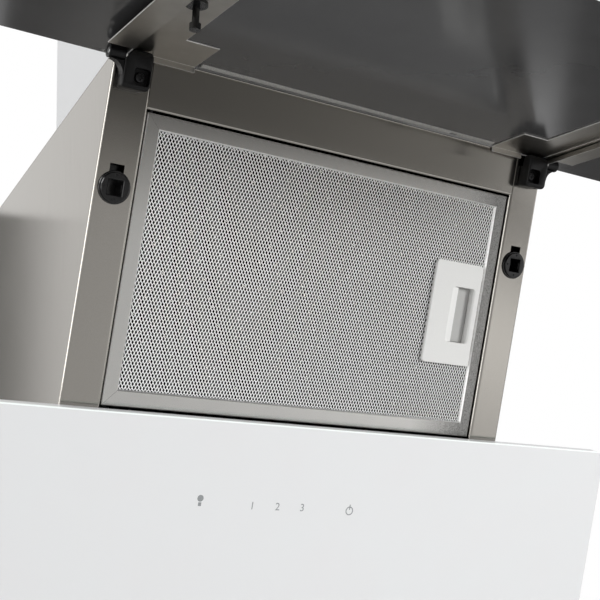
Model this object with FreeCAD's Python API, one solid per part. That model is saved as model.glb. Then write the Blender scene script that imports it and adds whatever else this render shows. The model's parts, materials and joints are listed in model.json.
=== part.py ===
"""A wall hood with a slanted front, shown with its upper glass panel swung open.

Millimetres, +Z up, +X to the right as one faces the hood and +Y into the wall. The origin lies on
the wall, in the middle of the four wall screws. Pieces of the slanted front are drawn in the front's
own directions: x to the right, s up the slope and o outwards from it, measured from the middle of
the front's top edge. Left-hand pieces mirror the right-hand ones.
"""
import FreeCAD, Part
import math
import os

Vector = FreeCAD.Vector

# Housing of folded sheet
SLANT = 26.0  # degrees that the front leans out from upright
BODY_W = 380.0
BODY_H = 392.0
TOP_DEPTH = 320.0
SHEET = 1.0
POST_W = 28.0
RAIL_H = 33.0
STOP_W = 8.0  # of the stop that shows behind the filter
STOP_SEAT = 5.0  # of the post's fold that the stop is welded to
FLANGE_W = 12.0  # inner flanges that the screws go through
SHEET_GAP = 0.2  # between sheets that slide into each other

# Wall screws
WALL_SPACING_X = 300.0
WALL_SPACING_Z = 300.0
WALL_HOLE_R = 4.0

# Assembly screws
SCREW_R = 2.0
SCREW_HEAD_R = 3.5
SCREW_HEAD_H = 2.0
SCREW_GAP = 0.1  # round a shank
SIDE_SCREWS = 3  # along each flange
SCREW_END = 40.0  # from a flange's ends to its outer screws
CROSS_L = 4.4
CROSS_W = 1.0
CROSS_DEPTH = 1.2

# Grease filter
FILTER_H = 200.0
FILTER_T = 8.0
FILTER_GAP_SIDE = 2.0
FILTER_GAP_TOP = 3.0
FILTER_GAP_BOTTOM = 4.0
FILTER_RECESS = 2.2  # behind the posts
STOP_GAP = 1.3  # from the filter's back to its stop
BAND_W = 9.6
RAIL_SHEET = 1.0
MESH_T = 0.8
MESH_GAP = 0.2
NET_COLUMNS = 18
NET_ROWS = 11
NET_OPEN = 0.72  # of a diamond's pitch
PEG_R = 1.5
PEG_INSET = 3.0  # from the filter's edge and from its face
PEG_REACH = 0.8  # into the sheet beyond the gap

# Filter handle and latch
HANDLE_W = 52.0
HANDLE_H = 86.0
HANDLE_S = -139.0
HANDLE_PROUD = 2.8  # in front of the filter's band
HANDLE_ROUND = 4.0
HANDLE_WALL = 4.0
FINGER_GAP = 3.0  # left in the slot with the latch pulled back
SLOT_H = 46.0
SLOT_EDGE = 12.0  # from the slot to the handle's right edge
SLOT_BEVEL = 2.6  # along the slot's left side
POCKET_FLOOR = 1.4
LATCH_GAP = 0.2
LATCH_GRIP_W = 9.0
LATCH_GRIP_EDGE = 1.0  # height of its thin side
LATCH_GRIP_SINK = 0.5  # below the handle's face
LATCH_TRAVEL = 6.0
TONGUE_W = 12.0
TONGUE_T = 2.4
TONGUE_SHORT = 0.4  # from the tongue's end to the post's folded edge

# Glass panels
GLASS_W = 600.0
GLASS_T = 4.0
GLASS_OFF = 13.5  # from the posts to the back of the glass
LOWER_GLASS_H = 205.0
LOWER_GLASS_GAP = 1.4  # below the filter
GLASS_SLOT = 6.4  # between the two panels when closed
UPPER_GLASS_RISE = 18.0  # above the front's top edge

# Panel hinges
OPEN_ANGLE = 103.0
PIVOT_S = -4.0
PIVOT_O = 7.0
BARREL_R = 4.8
PIN_R = 2.5
RUN_GAP = 0.05
END_GAP = 0.5
HINGE_W = 20.0
HINGE_L = 27.0  # from the pivot down to the block's lower end
HINGE_T = 11.0
POCKET_W = 13.0
POCKET_L = 14.0
POCKET_RIM = 2.0
POCKET_DEPTH = 7.0
HINGE_ROUND = 2.0
HINGE_SCREW_HEAD_R = 3.8
HINGE_SCREW_HEAD_H = 2.5
BUSH_L = 11.0

# Sheet brackets behind the upper glass
WEB_INSET = 4.0  # from the housing's side
BRACKET_W = 29.0
BRACKET_H = 8.0
BRACKET_OUT_W = 17.0
BRACKET_OUT_START = 14.0  # from the pivot
BRACKET_END = 16.0  # short of the glass's lower edge
TAB_W = 24.0
TAB_L = 33.0
TAB_BACK = 5.5  # behind the pivot
TAB_LIP_H = 5.0
SEAL_W = 3.0
SEAL_T = 1.0
SEAL_BACK = 4.0  # behind the pivot
SEAL_GAP = 3.0  # from the strip's ends to the brackets
SEAL_BREAK_IN = 39.5  # from the strip's right end
SEAL_BREAK_W = 8.0

# Catches that hold the panel closed
CATCH_S = -90.6
SOCKET_R = 11.3
SOCKET_STEP_R = 10.2
SOCKET_RIM = 1.5
SOCKET_FACE = 2.8
SOCKET_HOLE = 10.6
SOCKET_BODY_R = 8.5
SOCKET_DEPTH = 11.0
SOCKET_FLOOR = 1.5
SOCKET_GAP = 0.1
KEY_W = 10.0
KEY_RISE = 15.6  # top of the key above the socket's middle
KEY_SINK = 1.0
KEY_T = 2.0
STUD_BASE_R = 7.0
STUD_BASE_T = 2.0
STUD_R = 2.2
STUD_TIP_R = 3.5
STUD_TIP_L = 4.0
STUD_REACH = 5.0  # past the post's face
BUMPER_R = 5.0
BUMPER_GAP = 0.4
BUMPER_END = 12.0  # from the bracket's lower end

# Brackets and touch controls behind the lower glass
GLASS_BRACKET_START = 18.0  # below the glass's upper edge
GLASS_BRACKET_L = 160.0
TOUCH_S = -297.0
TOUCH_W = 200.0
TOUCH_H = 26.0
BOARD_T = 1.6
TRAY_WALL = 1.5
TRAY_T = 7.0

# Lamps in the bottom
LAMP_INSET = 80.0  # from the housing's side
LAMP_Y = -64.0
LAMP_R = 31.0
LAMP_RIM_R = 36.0
LAMP_RIM_T = 2.0
LAMP_H = 22.0
LAMP_WALL = 2.0
LAMP_GAP = 0.3
LENS_T = 1.5
LAMP_BOARD_R = 25.0

# Fan
FAN_Y = -112.0
FAN_DROP = 150.0  # below the top
SCROLL_R = 95.0
SCROLL_W = 150.0
SCROLL_WALL = 2.0
NECK_D = 154.0
INLET_R = 54.0
EAR_L = 14.0
EAR_W = 16.0
EAR_T = 3.0
EAR_SIDE = 60.0  # from the fan's middle, front and back
IMPELLER_R = 70.0
IMPELLER_W = 126.0
BLADES = 30
BLADE_DEPTH = 13.0
BLADE_T = 1.2
BLADE_TURN = 30.0
END_RING_W = 8.0
END_RING_T = 2.0
HUB_R = 11.0
HUB_L = 24.0
DISC_T = 3.0
SHAFT_R = 4.0
SHAFT_SINK = 40.0  # into the motor
MOTOR_R = 40.0
MOTOR_GAP = 4.0  # from the motor's inner end to the hub
SPIDER_T = 3.0
SPIDER_R = 64.0
SPIDER_HUB_R = 22.0
SPIDER_ARM_W = 14.0
SPIDER_ARMS = 3
MOTOR_SCREW_PCD_R = 15.0
MOTOR_SCREW_L = 9.0

# Air outlet
COLLAR_R = 74.5
COLLAR_WALL = 2.5
COLLAR_H = 45.0
COLLAR_FLANGE_R = 86.0
COLLAR_FLANGE_T = 3.0
FLAP_LIFT = 14.0  # above the collar's flange
FLAP_T = 1.2
FLAP_GAP = 1.0
FLAP_PIN_R = 1.5
FLAP_APART = 3.0  # from the middle to each flap's pin
GLAND_X = 93.0
GLAND_Y = -24.0
GLAND_R = 8.0
GLAND_NUT_R = 11.0
GLAND_NUT_T = 5.0
GLAND_BORE_R = 4.0

# Flue cover
CHIMNEY_W = 240.0
CHIMNEY_D = 215.0
CHIMNEY_H = 330.0
CHIMNEY_GAP = 1.0
CHIMNEY_SEAT = 0.3
CHIMNEY_SHOW = 15.0  # of the upper cover above the lower one

# Control box
CONTROL_W = 120.0
CONTROL_H = 80.0
CONTROL_D = 44.0
CONTROL_WALL = 2.0
CONTROL_LIFT = 20.0  # above the bottom
BOARD_GAP = 3.0
BOSS_R = 3.0
BOSS_H = 8.0
CAPACITOR_R = 14.0
CAPACITOR_L = 54.0
CAPACITOR_GAP = 0.1

# Worked out from the sizes above
TAN = math.tan(math.radians(SLANT))
COS = math.cos(math.radians(SLANT))
TOP_Z = BODY_H / 2
BOTTOM_Z = -BODY_H / 2
HALF_W = BODY_W / 2
INNER_X = HALF_W - SHEET
BAY_X = HALF_W - POST_W
SLOPE_L = BODY_H / COS
FLANGE_X = INNER_X - FLANGE_W / 2
FILTER_X = BAY_X - FILTER_GAP_SIDE
FILTER_TOP = -RAIL_H - FILTER_GAP_TOP
FILTER_BOTTOM = FILTER_TOP - FILTER_H
FILTER_FACE = -FILTER_RECESS
FILTER_BACK = FILTER_FACE - FILTER_T
RETURN_D = FILTER_RECESS + FILTER_T + STOP_GAP
SILL_S = FILTER_BOTTOM - FILTER_GAP_BOTTOM
PEG_X = -FILTER_X + PEG_INSET
PEG_O = FILTER_FACE - PEG_INSET
CHANNEL_FACE = FILTER_FACE - RAIL_SHEET
CHANNEL_BACK = FILTER_BACK + RAIL_SHEET
HANDLE_RIGHT = FILTER_X - BAND_W
HANDLE_LEFT = HANDLE_RIGHT - HANDLE_W
HANDLE_FRONT = FILTER_FACE + HANDLE_PROUD
POCKET_BACK = CHANNEL_BACK + MESH_T
SLOT_RIGHT = HANDLE_RIGHT - SLOT_EDGE
SLOT_LEFT = SLOT_RIGHT - LATCH_GRIP_W - LATCH_TRAVEL - FINGER_GAP
TONGUE_O = POCKET_BACK + POCKET_FLOOR + LATCH_GAP + TONGUE_T / 2
LOWER_GLASS_TOP = FILTER_BOTTOM - LOWER_GLASS_GAP
UPPER_GLASS_END = LOWER_GLASS_TOP + GLASS_SLOT
GLASS_O = (GLASS_OFF, GLASS_OFF + GLASS_T)
WEB_X = HALF_W - WEB_INSET
HINGE_RIGHT = WEB_X - SHEET - END_GAP
HINGE_LEFT = HINGE_RIGHT - HINGE_W
HINGE_X = (HINGE_LEFT + HINGE_RIGHT) / 2
HINGE_END = PIVOT_S - HINGE_L
POCKET_S = HINGE_END + POCKET_RIM + POCKET_L / 2
CATCH_X = HALF_W - POST_W / 2
BRACKET_FACE = GLASS_OFF - SHEET
SEAL_END = WEB_X - BRACKET_W - TAB_W - SEAL_GAP
BRACKET_LOW = UPPER_GLASS_END + BRACKET_END
LAMP_X = HALF_W - LAMP_INSET
FAN_Z = TOP_Z - FAN_DROP
SCROLL_X = SCROLL_W / 2
UNDER_TOP = TOP_Z - SHEET
COLLAR_BORE_R = COLLAR_R - COLLAR_WALL
FLAP_Z = TOP_Z + COLLAR_FLANGE_T + FLAP_LIFT
CONTROL_BOTTOM = BOTTOM_Z + CONTROL_LIFT
CONTROL_TOP = CONTROL_BOTTOM + CONTROL_H
CONTROL_FRONT = -SHEET - CONTROL_D
FRONT = FreeCAD.Placement(Vector(0, -TOP_DEPTH, TOP_Z), FreeCAD.Rotation(Vector(1, 0, 0), 90 + SLANT))
X_WAY = Vector(1, 0, 0)
FAR = 2 * (BODY_H + TOP_DEPTH)


def box(x, y, z):
    """A block between the two ends given along each axis."""
    return Part.makeBox(x[1] - x[0], y[1] - y[0], z[1] - z[0], Vector(x[0], y[0], z[0]))


def rod(radius, start, end):
    """A round bar between two points."""
    way = end - start
    return Part.makeCylinder(radius, way.Length, start, way)


def prism(points, way):
    """A flat outline pushed along a vector."""
    return Part.Face(Part.makePolygon(points + points[:1])).extrude(way)


def joined(first, *others):
    """One solid from pieces that meet."""
    return first.fuse(list(others)).removeSplitter()


def on_front(shape):
    """A shape drawn in x, s and o, set on the slanted front."""
    return shape.transformed(FRONT.toMatrix())


def mirrored(shape):
    """The left-hand piece of a right-hand one."""
    return shape.mirror(Vector(0, 0, 0), X_WAY)


def opened(shape):
    """A piece of the upper panel, drawn closed in x, s and o, as it stands swung open."""
    turned = shape.copy()
    turned.rotate(Vector(0, PIVOT_S, PIVOT_O), X_WAY, -OPEN_ANGLE)
    return on_front(turned)


def between_levels(shape, low, high):
    """What lies between two heights of a shape."""
    return shape.common(box((-FAR, FAR), (-FAR, FAR), (low, high)))


def front_y(z):
    """How far forward the slanted front reaches at a height."""
    return -TOP_DEPTH + (TOP_Z - z) * TAN


def rounded_upright(block, radius):
    """A block drawn in x, s and o with the edges that run along o rounded."""
    upright = [e for e in block.Edges if abs(e.tangentAt(e.FirstParameter).z) > 0.9]
    return block.makeFillet(radius, upright)


def spread(low, high, count):
    """Evenly spaced places from low to high."""
    return [low + (high - low) * n / (count - 1) for n in range(count)]


def rear_screws():
    """Seat and way of the screws from the side flanges into the rear panel."""
    heights = spread(BOTTOM_Z + SCREW_END, TOP_Z - SCREW_END, SIDE_SCREWS)
    return [(Vector(side * FLANGE_X, -2 * SHEET, z), Vector(0, 1, 0)) for side in (-1, 1) for z in heights]


def top_screws():
    """Seat and way of the screws from the top panel into the side flanges."""
    places = spread(-TOP_DEPTH + SCREW_END, -SCREW_END, SIDE_SCREWS)
    return [(Vector(side * FLANGE_X, y, TOP_Z), Vector(0, 0, -1)) for side in (-1, 1) for y in places]


def chimney_screws():
    """Seat and way of the screws from the flue cover into the top panel."""
    x = CHIMNEY_W / 2 - SHEET - FLANGE_W / 2
    places = (-CHIMNEY_D + SCREW_END, -SCREW_END / 2)
    return [(Vector(side * x, y, TOP_Z + SHEET), Vector(0, 0, -1)) for side in (-1, 1) for y in places]


def scroll_screws():
    """Seat and way of the screws from the top panel into the fan housing's ears."""
    x = SCROLL_X + EAR_L / 2
    places = (FAN_Y - EAR_SIDE, FAN_Y + EAR_SIDE)
    return [(Vector(side * x, y, TOP_Z), Vector(0, 0, -1)) for side in (-1, 1) for y in places]


def glass_screws():
    """Seat and way of the screws from the lower glass brackets into the posts, in x, s and o."""
    start = LOWER_GLASS_TOP - GLASS_BRACKET_START
    slopes = (start - SCREW_END, start - GLASS_BRACKET_L + SCREW_END)
    return [(Vector(side * CATCH_X, s, SHEET), Vector(0, 0, -1)) for side in (-1, 1) for s in slopes]


def shank_holes(screws, depth):
    """What the shanks of some screws need cut."""
    radius = SCREW_R + SCREW_GAP
    return [rod(radius, seat - way * depth, seat + way * depth) for seat, way in screws]


def screw(seat, way, length, head_r=SCREW_HEAD_R, head_h=SCREW_HEAD_H):
    """A pan-head screw whose head rests on its seat."""
    head = rod(head_r, seat, seat - way * head_h)
    return joined(head, rod(SCREW_R, seat, seat + way * length))


def cross_cut(head, seat_o, x, s):
    """A screw head, drawn in x, s and o, with a cross recess in its top."""
    depth = (seat_o - CROSS_DEPTH, seat_o)
    across = box((x - CROSS_L / 2, x + CROSS_L / 2), (s - CROSS_W / 2, s + CROSS_W / 2), depth)
    along = box((x - CROSS_W / 2, x + CROSS_W / 2), (s - CROSS_L / 2, s + CROSS_L / 2), depth)
    return head.cut([across, along])


def side_panel():
    """Right side wall, folded round into the post and the inner flanges."""
    at_front = [(front_y(UNDER_TOP), UNDER_TOP), (front_y(BOTTOM_Z), BOTTOM_Z)]
    outline = [(0, BOTTOM_Z), (0, UNDER_TOP)] + at_front
    wall = prism([Vector(INNER_X, y, z) for y, z in outline], Vector(SHEET, 0, 0))
    fold = [
        (HALF_W, 0),
        (BAY_X, 0),
        (BAY_X, -RETURN_D),
        (BAY_X + STOP_SEAT, -RETURN_D),
        (BAY_X + STOP_SEAT, SHEET - RETURN_D),
        (BAY_X + SHEET, SHEET - RETURN_D),
        (BAY_X + SHEET, -SHEET),
        (HALF_W, -SHEET),
    ]
    post = prism([Vector(x, SLOPE_L, o) for x, o in fold], Vector(0, -3 * SLOPE_L, 0))
    post = between_levels(on_front(post), BOTTOM_Z + SHEET, UNDER_TOP)
    flange_x = (INNER_X - FLANGE_W, INNER_X)
    behind = -TOP_DEPTH + FLANGE_W + RETURN_D
    rear = box(flange_x, (-2 * SHEET, -SHEET), (BOTTOM_Z + SHEET + FLANGE_W, UNDER_TOP))
    top = box(flange_x, (behind, -SHEET), (UNDER_TOP - SHEET, UNDER_TOP))
    panel = joined(wall, post, rear, top)
    catch = Vector(CATCH_X, CATCH_S, 0)
    depth = Vector(0, 0, 2 * SHEET)
    key = (CATCH_X - KEY_W / 2 - SOCKET_GAP, CATCH_X + KEY_W / 2 + SOCKET_GAP)
    socket = joined(
        rod(SOCKET_BODY_R + SOCKET_GAP, catch - depth, catch + depth),
        box(key, (CATCH_S, CATCH_S + KEY_RISE + SOCKET_GAP), (-2 * SHEET, SHEET)),
    )
    hinge = Vector(HINGE_X, POCKET_S, 0)
    hinge_hole = rod(SCREW_R + SCREW_GAP, hinge - depth, hinge + depth)
    holes = shank_holes(rear_screws() + top_screws(), 3 * SHEET)
    holes += [on_front(h) for h in shank_holes(glass_screws(), 3 * SHEET)]
    return panel.cut(holes + [on_front(socket), on_front(hinge_hole)])


def filter_stop():
    """Right stop behind the filter: a flat strip welded to the post's fold."""
    across = (BAY_X - STOP_W, BAY_X + STOP_SEAT)
    return on_front(box(across, (FILTER_BOTTOM, FILTER_TOP), (-RETURN_D - SHEET, -RETURN_D)))


def peg_hole(s):
    """What a filter peg's hole needs cut from a folded edge at a place on the slope."""
    peg = Vector(PEG_X, s, PEG_O)
    depth = Vector(0, 2 * SHEET, 0)
    return on_front(rod(PEG_R + RUN_GAP, peg - depth, peg + depth))


def top_panel():
    """Top plate with the air outlet."""
    plate = box((-HALF_W, HALF_W), (-TOP_DEPTH, 0), (UNDER_TOP, TOP_Z))
    outlet = Vector(0, FAN_Y, TOP_Z)
    gland = Vector(GLAND_X, GLAND_Y, TOP_Z)
    depth = Vector(0, 0, 2 * SHEET)
    holes = shank_holes(top_screws() + chimney_screws() + scroll_screws(), 3 * SHEET)
    holes.append(rod(COLLAR_BORE_R, outlet - depth, outlet + depth))
    holes.append(rod(GLAND_R + SHEET_GAP, gland - depth, gland + depth))
    return plate.cut(holes)


def front_rail():
    """Rail above the filter, with a flange welded under the top plate."""
    half = BAY_X - SHEET_GAP
    fold = [
        (0, 0),
        (-RAIL_H, 0),
        (-RAIL_H, -RETURN_D),
        (SHEET - RAIL_H, -RETURN_D),
        (SHEET - RAIL_H, -SHEET),
        (0, -SHEET),
    ]
    face = prism([Vector(-half, s, o) for s, o in fold], Vector(2 * half, 0, 0))
    face = between_levels(on_front(face), BOTTOM_Z, UNDER_TOP)
    start = front_y(UNDER_TOP - SHEET)
    flange = box((-half, half), (start, start + FLANGE_W), (UNDER_TOP - SHEET, UNDER_TOP))
    return joined(face, flange).cut(peg_hole(-RAIL_H))


def wall_points():
    """The four wall screws, on the wall."""
    half_x = WALL_SPACING_X / 2
    half_z = WALL_SPACING_Z / 2
    return [Vector(x, 0, z) for x in (-half_x, half_x) for z in (-half_z, half_z)]


def rear_panel():
    """Flat sheet on the wall, between the side walls, with four holes for wall screws."""
    half = INNER_X - SHEET_GAP
    sheet = box((-half, half), (-SHEET, 0), (BOTTOM_Z + SHEET, UNDER_TOP))
    depth = Vector(0, 2 * SHEET, 0)
    holes = [rod(WALL_HOLE_R, p - depth, p + depth) for p in wall_points()]
    return sheet.cut(holes + shank_holes(rear_screws(), 3 * SHEET))


def bottom_panel():
    """Level bottom plate with two lamp holes and upturned sides."""
    half = INNER_X - SHEET_GAP
    high = BOTTOM_Z + SHEET
    outline = [(0, BOTTOM_Z), (0, high), (front_y(high), high), (front_y(BOTTOM_Z), BOTTOM_Z)]
    plate = prism([Vector(-half, y, z) for y, z in outline], Vector(2 * half, 0, 0))
    back = -2 * SHEET - SHEET_GAP
    ahead = front_y(BOTTOM_Z) + FLANGE_W + RETURN_D
    flanges = [
        box(sorted((side * half, side * (half - SHEET))), (ahead, back), (BOTTOM_Z, BOTTOM_Z + FLANGE_W))
        for side in (-1, 1)
    ]
    lamps = [Vector(side * LAMP_X, LAMP_Y, BOTTOM_Z) for side in (-1, 1)]
    depth = Vector(0, 0, 2 * SHEET)
    holes = [rod(LAMP_R + LAMP_GAP, p - depth, p + depth) for p in lamps]
    return joined(plate, *flanges).cut(holes)


def lower_front_panel():
    """Channel behind the lower glass, folded back at its top as the sill below the filter."""
    half = BAY_X - SHEET_GAP
    depth = RETURN_D - SHEET_GAP
    face = box((-half, half), (SILL_S - SLOPE_L, SILL_S), (-SHEET, 0))
    sides = [
        box(sorted((side * half, side * (half - SHEET))), (SILL_S - SLOPE_L, SILL_S), (-depth, 0))
        for side in (-1, 1)
    ]
    sill = box((-half, half), (SILL_S - SHEET, SILL_S), (-depth, 0))
    panel = between_levels(on_front(joined(face, sill, *sides)), BOTTOM_Z + SHEET, TOP_Z)
    return panel.cut(peg_hole(SILL_S))


def lower_glass():
    """Fixed glass panel."""
    low = LOWER_GLASS_TOP - LOWER_GLASS_H
    return on_front(box((-GLASS_W / 2, GLASS_W / 2), (low, LOWER_GLASS_TOP), GLASS_O))


def glass_bracket():
    """Right channel between the lower glass and the post."""
    right = WEB_X
    left = right - BRACKET_W
    start = LOWER_GLASS_TOP - GLASS_BRACKET_START
    fold = [
        (right, 0),
        (left, 0),
        (left, GLASS_OFF),
        (right, GLASS_OFF),
        (right, GLASS_OFF - SHEET),
        (left + SHEET, GLASS_OFF - SHEET),
        (left + SHEET, SHEET),
        (right, SHEET),
    ]
    channel = prism([Vector(x, start, o) for x, o in fold], Vector(0, -GLASS_BRACKET_L, 0))
    return on_front(channel.cut(shank_holes(glass_screws(), 2 * SHEET)))


def touch_board():
    """Circuit board of the touch keys, on the back of the lower glass."""
    high = (TOUCH_S - TOUCH_H / 2, TOUCH_S + TOUCH_H / 2)
    return on_front(box((-TOUCH_W / 2, TOUCH_W / 2), high, (GLASS_OFF - BOARD_T, GLASS_OFF)))


def touch_tray():
    """Tray that covers the touch board."""
    half = TOUCH_W / 2 + MESH_GAP
    high = (TOUCH_S - TOUCH_H / 2 - MESH_GAP, TOUCH_S + TOUCH_H / 2 + MESH_GAP)
    outer = box(
        (-half - TRAY_WALL, half + TRAY_WALL),
        (high[0] - TRAY_WALL, high[1] + TRAY_WALL),
        (GLASS_OFF - TRAY_T, GLASS_OFF),
    )
    inner = box((-half, half), high, (GLASS_OFF - TRAY_T + TRAY_WALL, GLASS_OFF))
    return on_front(outer.cut(inner))


def lamp():
    """Right lamp: a cup through the bottom panel with a rim below it."""
    foot = Vector(LAMP_X, LAMP_Y, BOTTOM_Z)
    up = Vector(0, 0, 1)
    cup = joined(rod(LAMP_RIM_R, foot - up * LAMP_RIM_T, foot), rod(LAMP_R, foot, foot + up * LAMP_H))
    return cup.cut(rod(LAMP_R - LAMP_WALL, foot - up * LAMP_RIM_T, foot + up * (LAMP_H - LAMP_WALL)))


def lamp_lens():
    """Right lamp's lens, in the rim."""
    foot = Vector(LAMP_X, LAMP_Y, BOTTOM_Z - LAMP_RIM_T)
    return rod(LAMP_R - LAMP_WALL - SCREW_GAP, foot, foot + Vector(0, 0, LENS_T))


def lamp_board():
    """Right lamp's round board of light diodes, on the cup's floor."""
    floor = Vector(LAMP_X, LAMP_Y, BOTTOM_Z + LAMP_H - LAMP_WALL)
    return rod(LAMP_BOARD_R, floor - Vector(0, 0, BOARD_T), floor)


def hinge_block():
    """Right hinge block: a screwed foot with a pocket, and the barrel that holds the pin."""
    foot = box((HINGE_LEFT, HINGE_RIGHT), (HINGE_END, PIVOT_S - BARREL_R), (0, HINGE_T))
    foot = rounded_upright(foot, HINGE_ROUND)
    neck = box((HINGE_LEFT, HINGE_RIGHT), (PIVOT_S - 2 * BARREL_R, PIVOT_S), (PIVOT_O - BARREL_R, HINGE_T))
    axis = Vector(0, PIVOT_S, PIVOT_O)
    barrel = rod(BARREL_R, axis + X_WAY * HINGE_LEFT, axis + X_WAY * HINGE_RIGHT)
    pocket_x = (HINGE_X - POCKET_W / 2, HINGE_X + POCKET_W / 2)
    pocket_s = (POCKET_S - POCKET_L / 2, POCKET_S + POCKET_L / 2)
    pocket = box(pocket_x, pocket_s, (HINGE_T - POCKET_DEPTH, HINGE_T))
    bore = rod(PIN_R + RUN_GAP, axis + X_WAY * (HINGE_LEFT + SHEET), axis + X_WAY * HINGE_RIGHT)
    screw_at = Vector(HINGE_X, POCKET_S, 0)
    hole = rod(SCREW_R + SCREW_GAP, screw_at, screw_at + Vector(0, 0, HINGE_T))
    return on_front(joined(foot, neck, barrel).cut([pocket, bore, hole]))


def hinge_screw():
    """Right hinge block's cross-head screw, down in its pocket."""
    seat_o = HINGE_T - POCKET_DEPTH
    body = screw(
        Vector(HINGE_X, POCKET_S, seat_o),
        Vector(0, 0, -1),
        seat_o + 2 * SHEET,
        HINGE_SCREW_HEAD_R,
        HINGE_SCREW_HEAD_H,
    )
    return on_front(cross_cut(body, seat_o + HINGE_SCREW_HEAD_H, HINGE_X, POCKET_S))


def hinge_pin():
    """Right hinge pin, which turns with the panel."""
    axis = Vector(0, PIVOT_S, PIVOT_O)
    start = HINGE_LEFT + SHEET + END_GAP
    return opened(rod(PIN_R, axis + X_WAY * start, axis + X_WAY * (WEB_X + BUSH_L)))


def hinge_bush():
    """Right bush on the pin's outer end."""
    axis = Vector(0, PIVOT_S, PIVOT_O)
    bush = rod(BARREL_R, axis + X_WAY * WEB_X, axis + X_WAY * (WEB_X + BUSH_L))
    return opened(bush.cut(rod(PIN_R + RUN_GAP, axis, axis + X_WAY * HALF_W * 2)))


def panel_bracket():
    """Right sheet bracket on the upper glass: a glued flange, a web with an ear and an outer flange."""
    left = WEB_X - BRACKET_W
    back = PIVOT_S + TAB_BACK
    glued = (BRACKET_FACE, GLASS_OFF)
    web_low = GLASS_OFF - BRACKET_H
    flange = box((left, WEB_X), (BRACKET_LOW, back), glued)
    tab = box((left - TAB_W, left), (PIVOT_S - TAB_L, back), glued)
    lip_x = (left - TAB_W, HINGE_LEFT - END_GAP)
    lip = box(lip_x, (back - SHEET, back), (GLASS_OFF - TAB_LIP_H, GLASS_OFF))
    web = box((WEB_X - SHEET, WEB_X), (BRACKET_LOW, back), (web_low, GLASS_OFF))
    outer_s = (BRACKET_LOW, PIVOT_S - BRACKET_OUT_START)
    outer = box((WEB_X - SHEET, WEB_X + BRACKET_OUT_W), outer_s, (web_low, web_low + SHEET))
    axis = Vector(0, PIVOT_S, PIVOT_O)
    ear = rod(BARREL_R, axis + X_WAY * (WEB_X - SHEET), axis + X_WAY * WEB_X)
    hole = rod(PIN_R + RUN_GAP, axis, axis + X_WAY * HALF_W * 2)
    return opened(joined(flange, tab, lip, web, outer, ear).cut(hole))


def catch_stud():
    """Right stud on the panel bracket that snaps into the post's socket."""
    seat = Vector(CATCH_X, CATCH_S, BRACKET_FACE)
    inwards = Vector(0, 0, -1)
    reach = BRACKET_FACE + STUD_REACH
    base = rod(STUD_BASE_R, seat, seat + inwards * STUD_BASE_T)
    stem = rod(STUD_R, seat, seat + inwards * reach)
    tip = rod(STUD_TIP_R, seat + inwards * (reach - STUD_TIP_L), seat + inwards * reach)
    return opened(joined(base, stem, tip))


def bumper():
    """Right rubber stop near the bracket's lower end."""
    seat = Vector(CATCH_X, BRACKET_LOW + BUMPER_END, BRACKET_FACE)
    return opened(rod(BUMPER_R, seat, seat - Vector(0, 0, BRACKET_FACE - BUMPER_GAP)))


def panel_seal():
    """Pale strip across the back of the upper glass near its hinges, with one short break."""
    s = (PIVOT_S + SEAL_BACK - SEAL_W, PIVOT_S + SEAL_BACK)
    o = (GLASS_OFF - SEAL_T, GLASS_OFF)
    middle = SEAL_END - SEAL_BREAK_IN
    breaks = (middle - SEAL_BREAK_W / 2, middle + SEAL_BREAK_W / 2)
    return opened(Part.makeCompound([box((-SEAL_END, breaks[0]), s, o), box((breaks[1], SEAL_END), s, o)]))


def upper_glass():
    """Glass panel that swings up on the hinges."""
    return opened(box((-GLASS_W / 2, GLASS_W / 2), (UPPER_GLASS_END, UPPER_GLASS_RISE), GLASS_O))


def catch_socket():
    """Right snap socket: a stepped round face with a square hole, and a key in the post's slot."""
    middle = Vector(CATCH_X, CATCH_S, 0)
    out = Vector(0, 0, 1)
    rim = rod(SOCKET_R, middle, middle + out * SOCKET_RIM)
    face = rod(SOCKET_STEP_R, middle, middle + out * SOCKET_FACE)
    body = rod(SOCKET_BODY_R, middle - out * SOCKET_DEPTH, middle)
    key_x = (CATCH_X - KEY_W / 2, CATCH_X + KEY_W / 2)
    key = box(key_x, (CATCH_S, CATCH_S + KEY_RISE), (-KEY_SINK - KEY_T, -KEY_SINK))
    half = SOCKET_HOLE / 2
    hole = box(
        (CATCH_X - half, CATCH_X + half),
        (CATCH_S - half, CATCH_S + half),
        (SOCKET_FLOOR - SOCKET_DEPTH, SOCKET_FACE),
    )
    return on_front(joined(rim, face, body, key).cut(hole))


def tongue_way(start, end):
    """The space the latch's tongue slides in, between two places along x."""
    half_t = TONGUE_T / 2 + LATCH_GAP
    half_w = TONGUE_W / 2 + LATCH_GAP
    return box((start, end), (HANDLE_S - half_w, HANDLE_S + half_w), (TONGUE_O - half_t, TONGUE_O + half_t))


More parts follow.
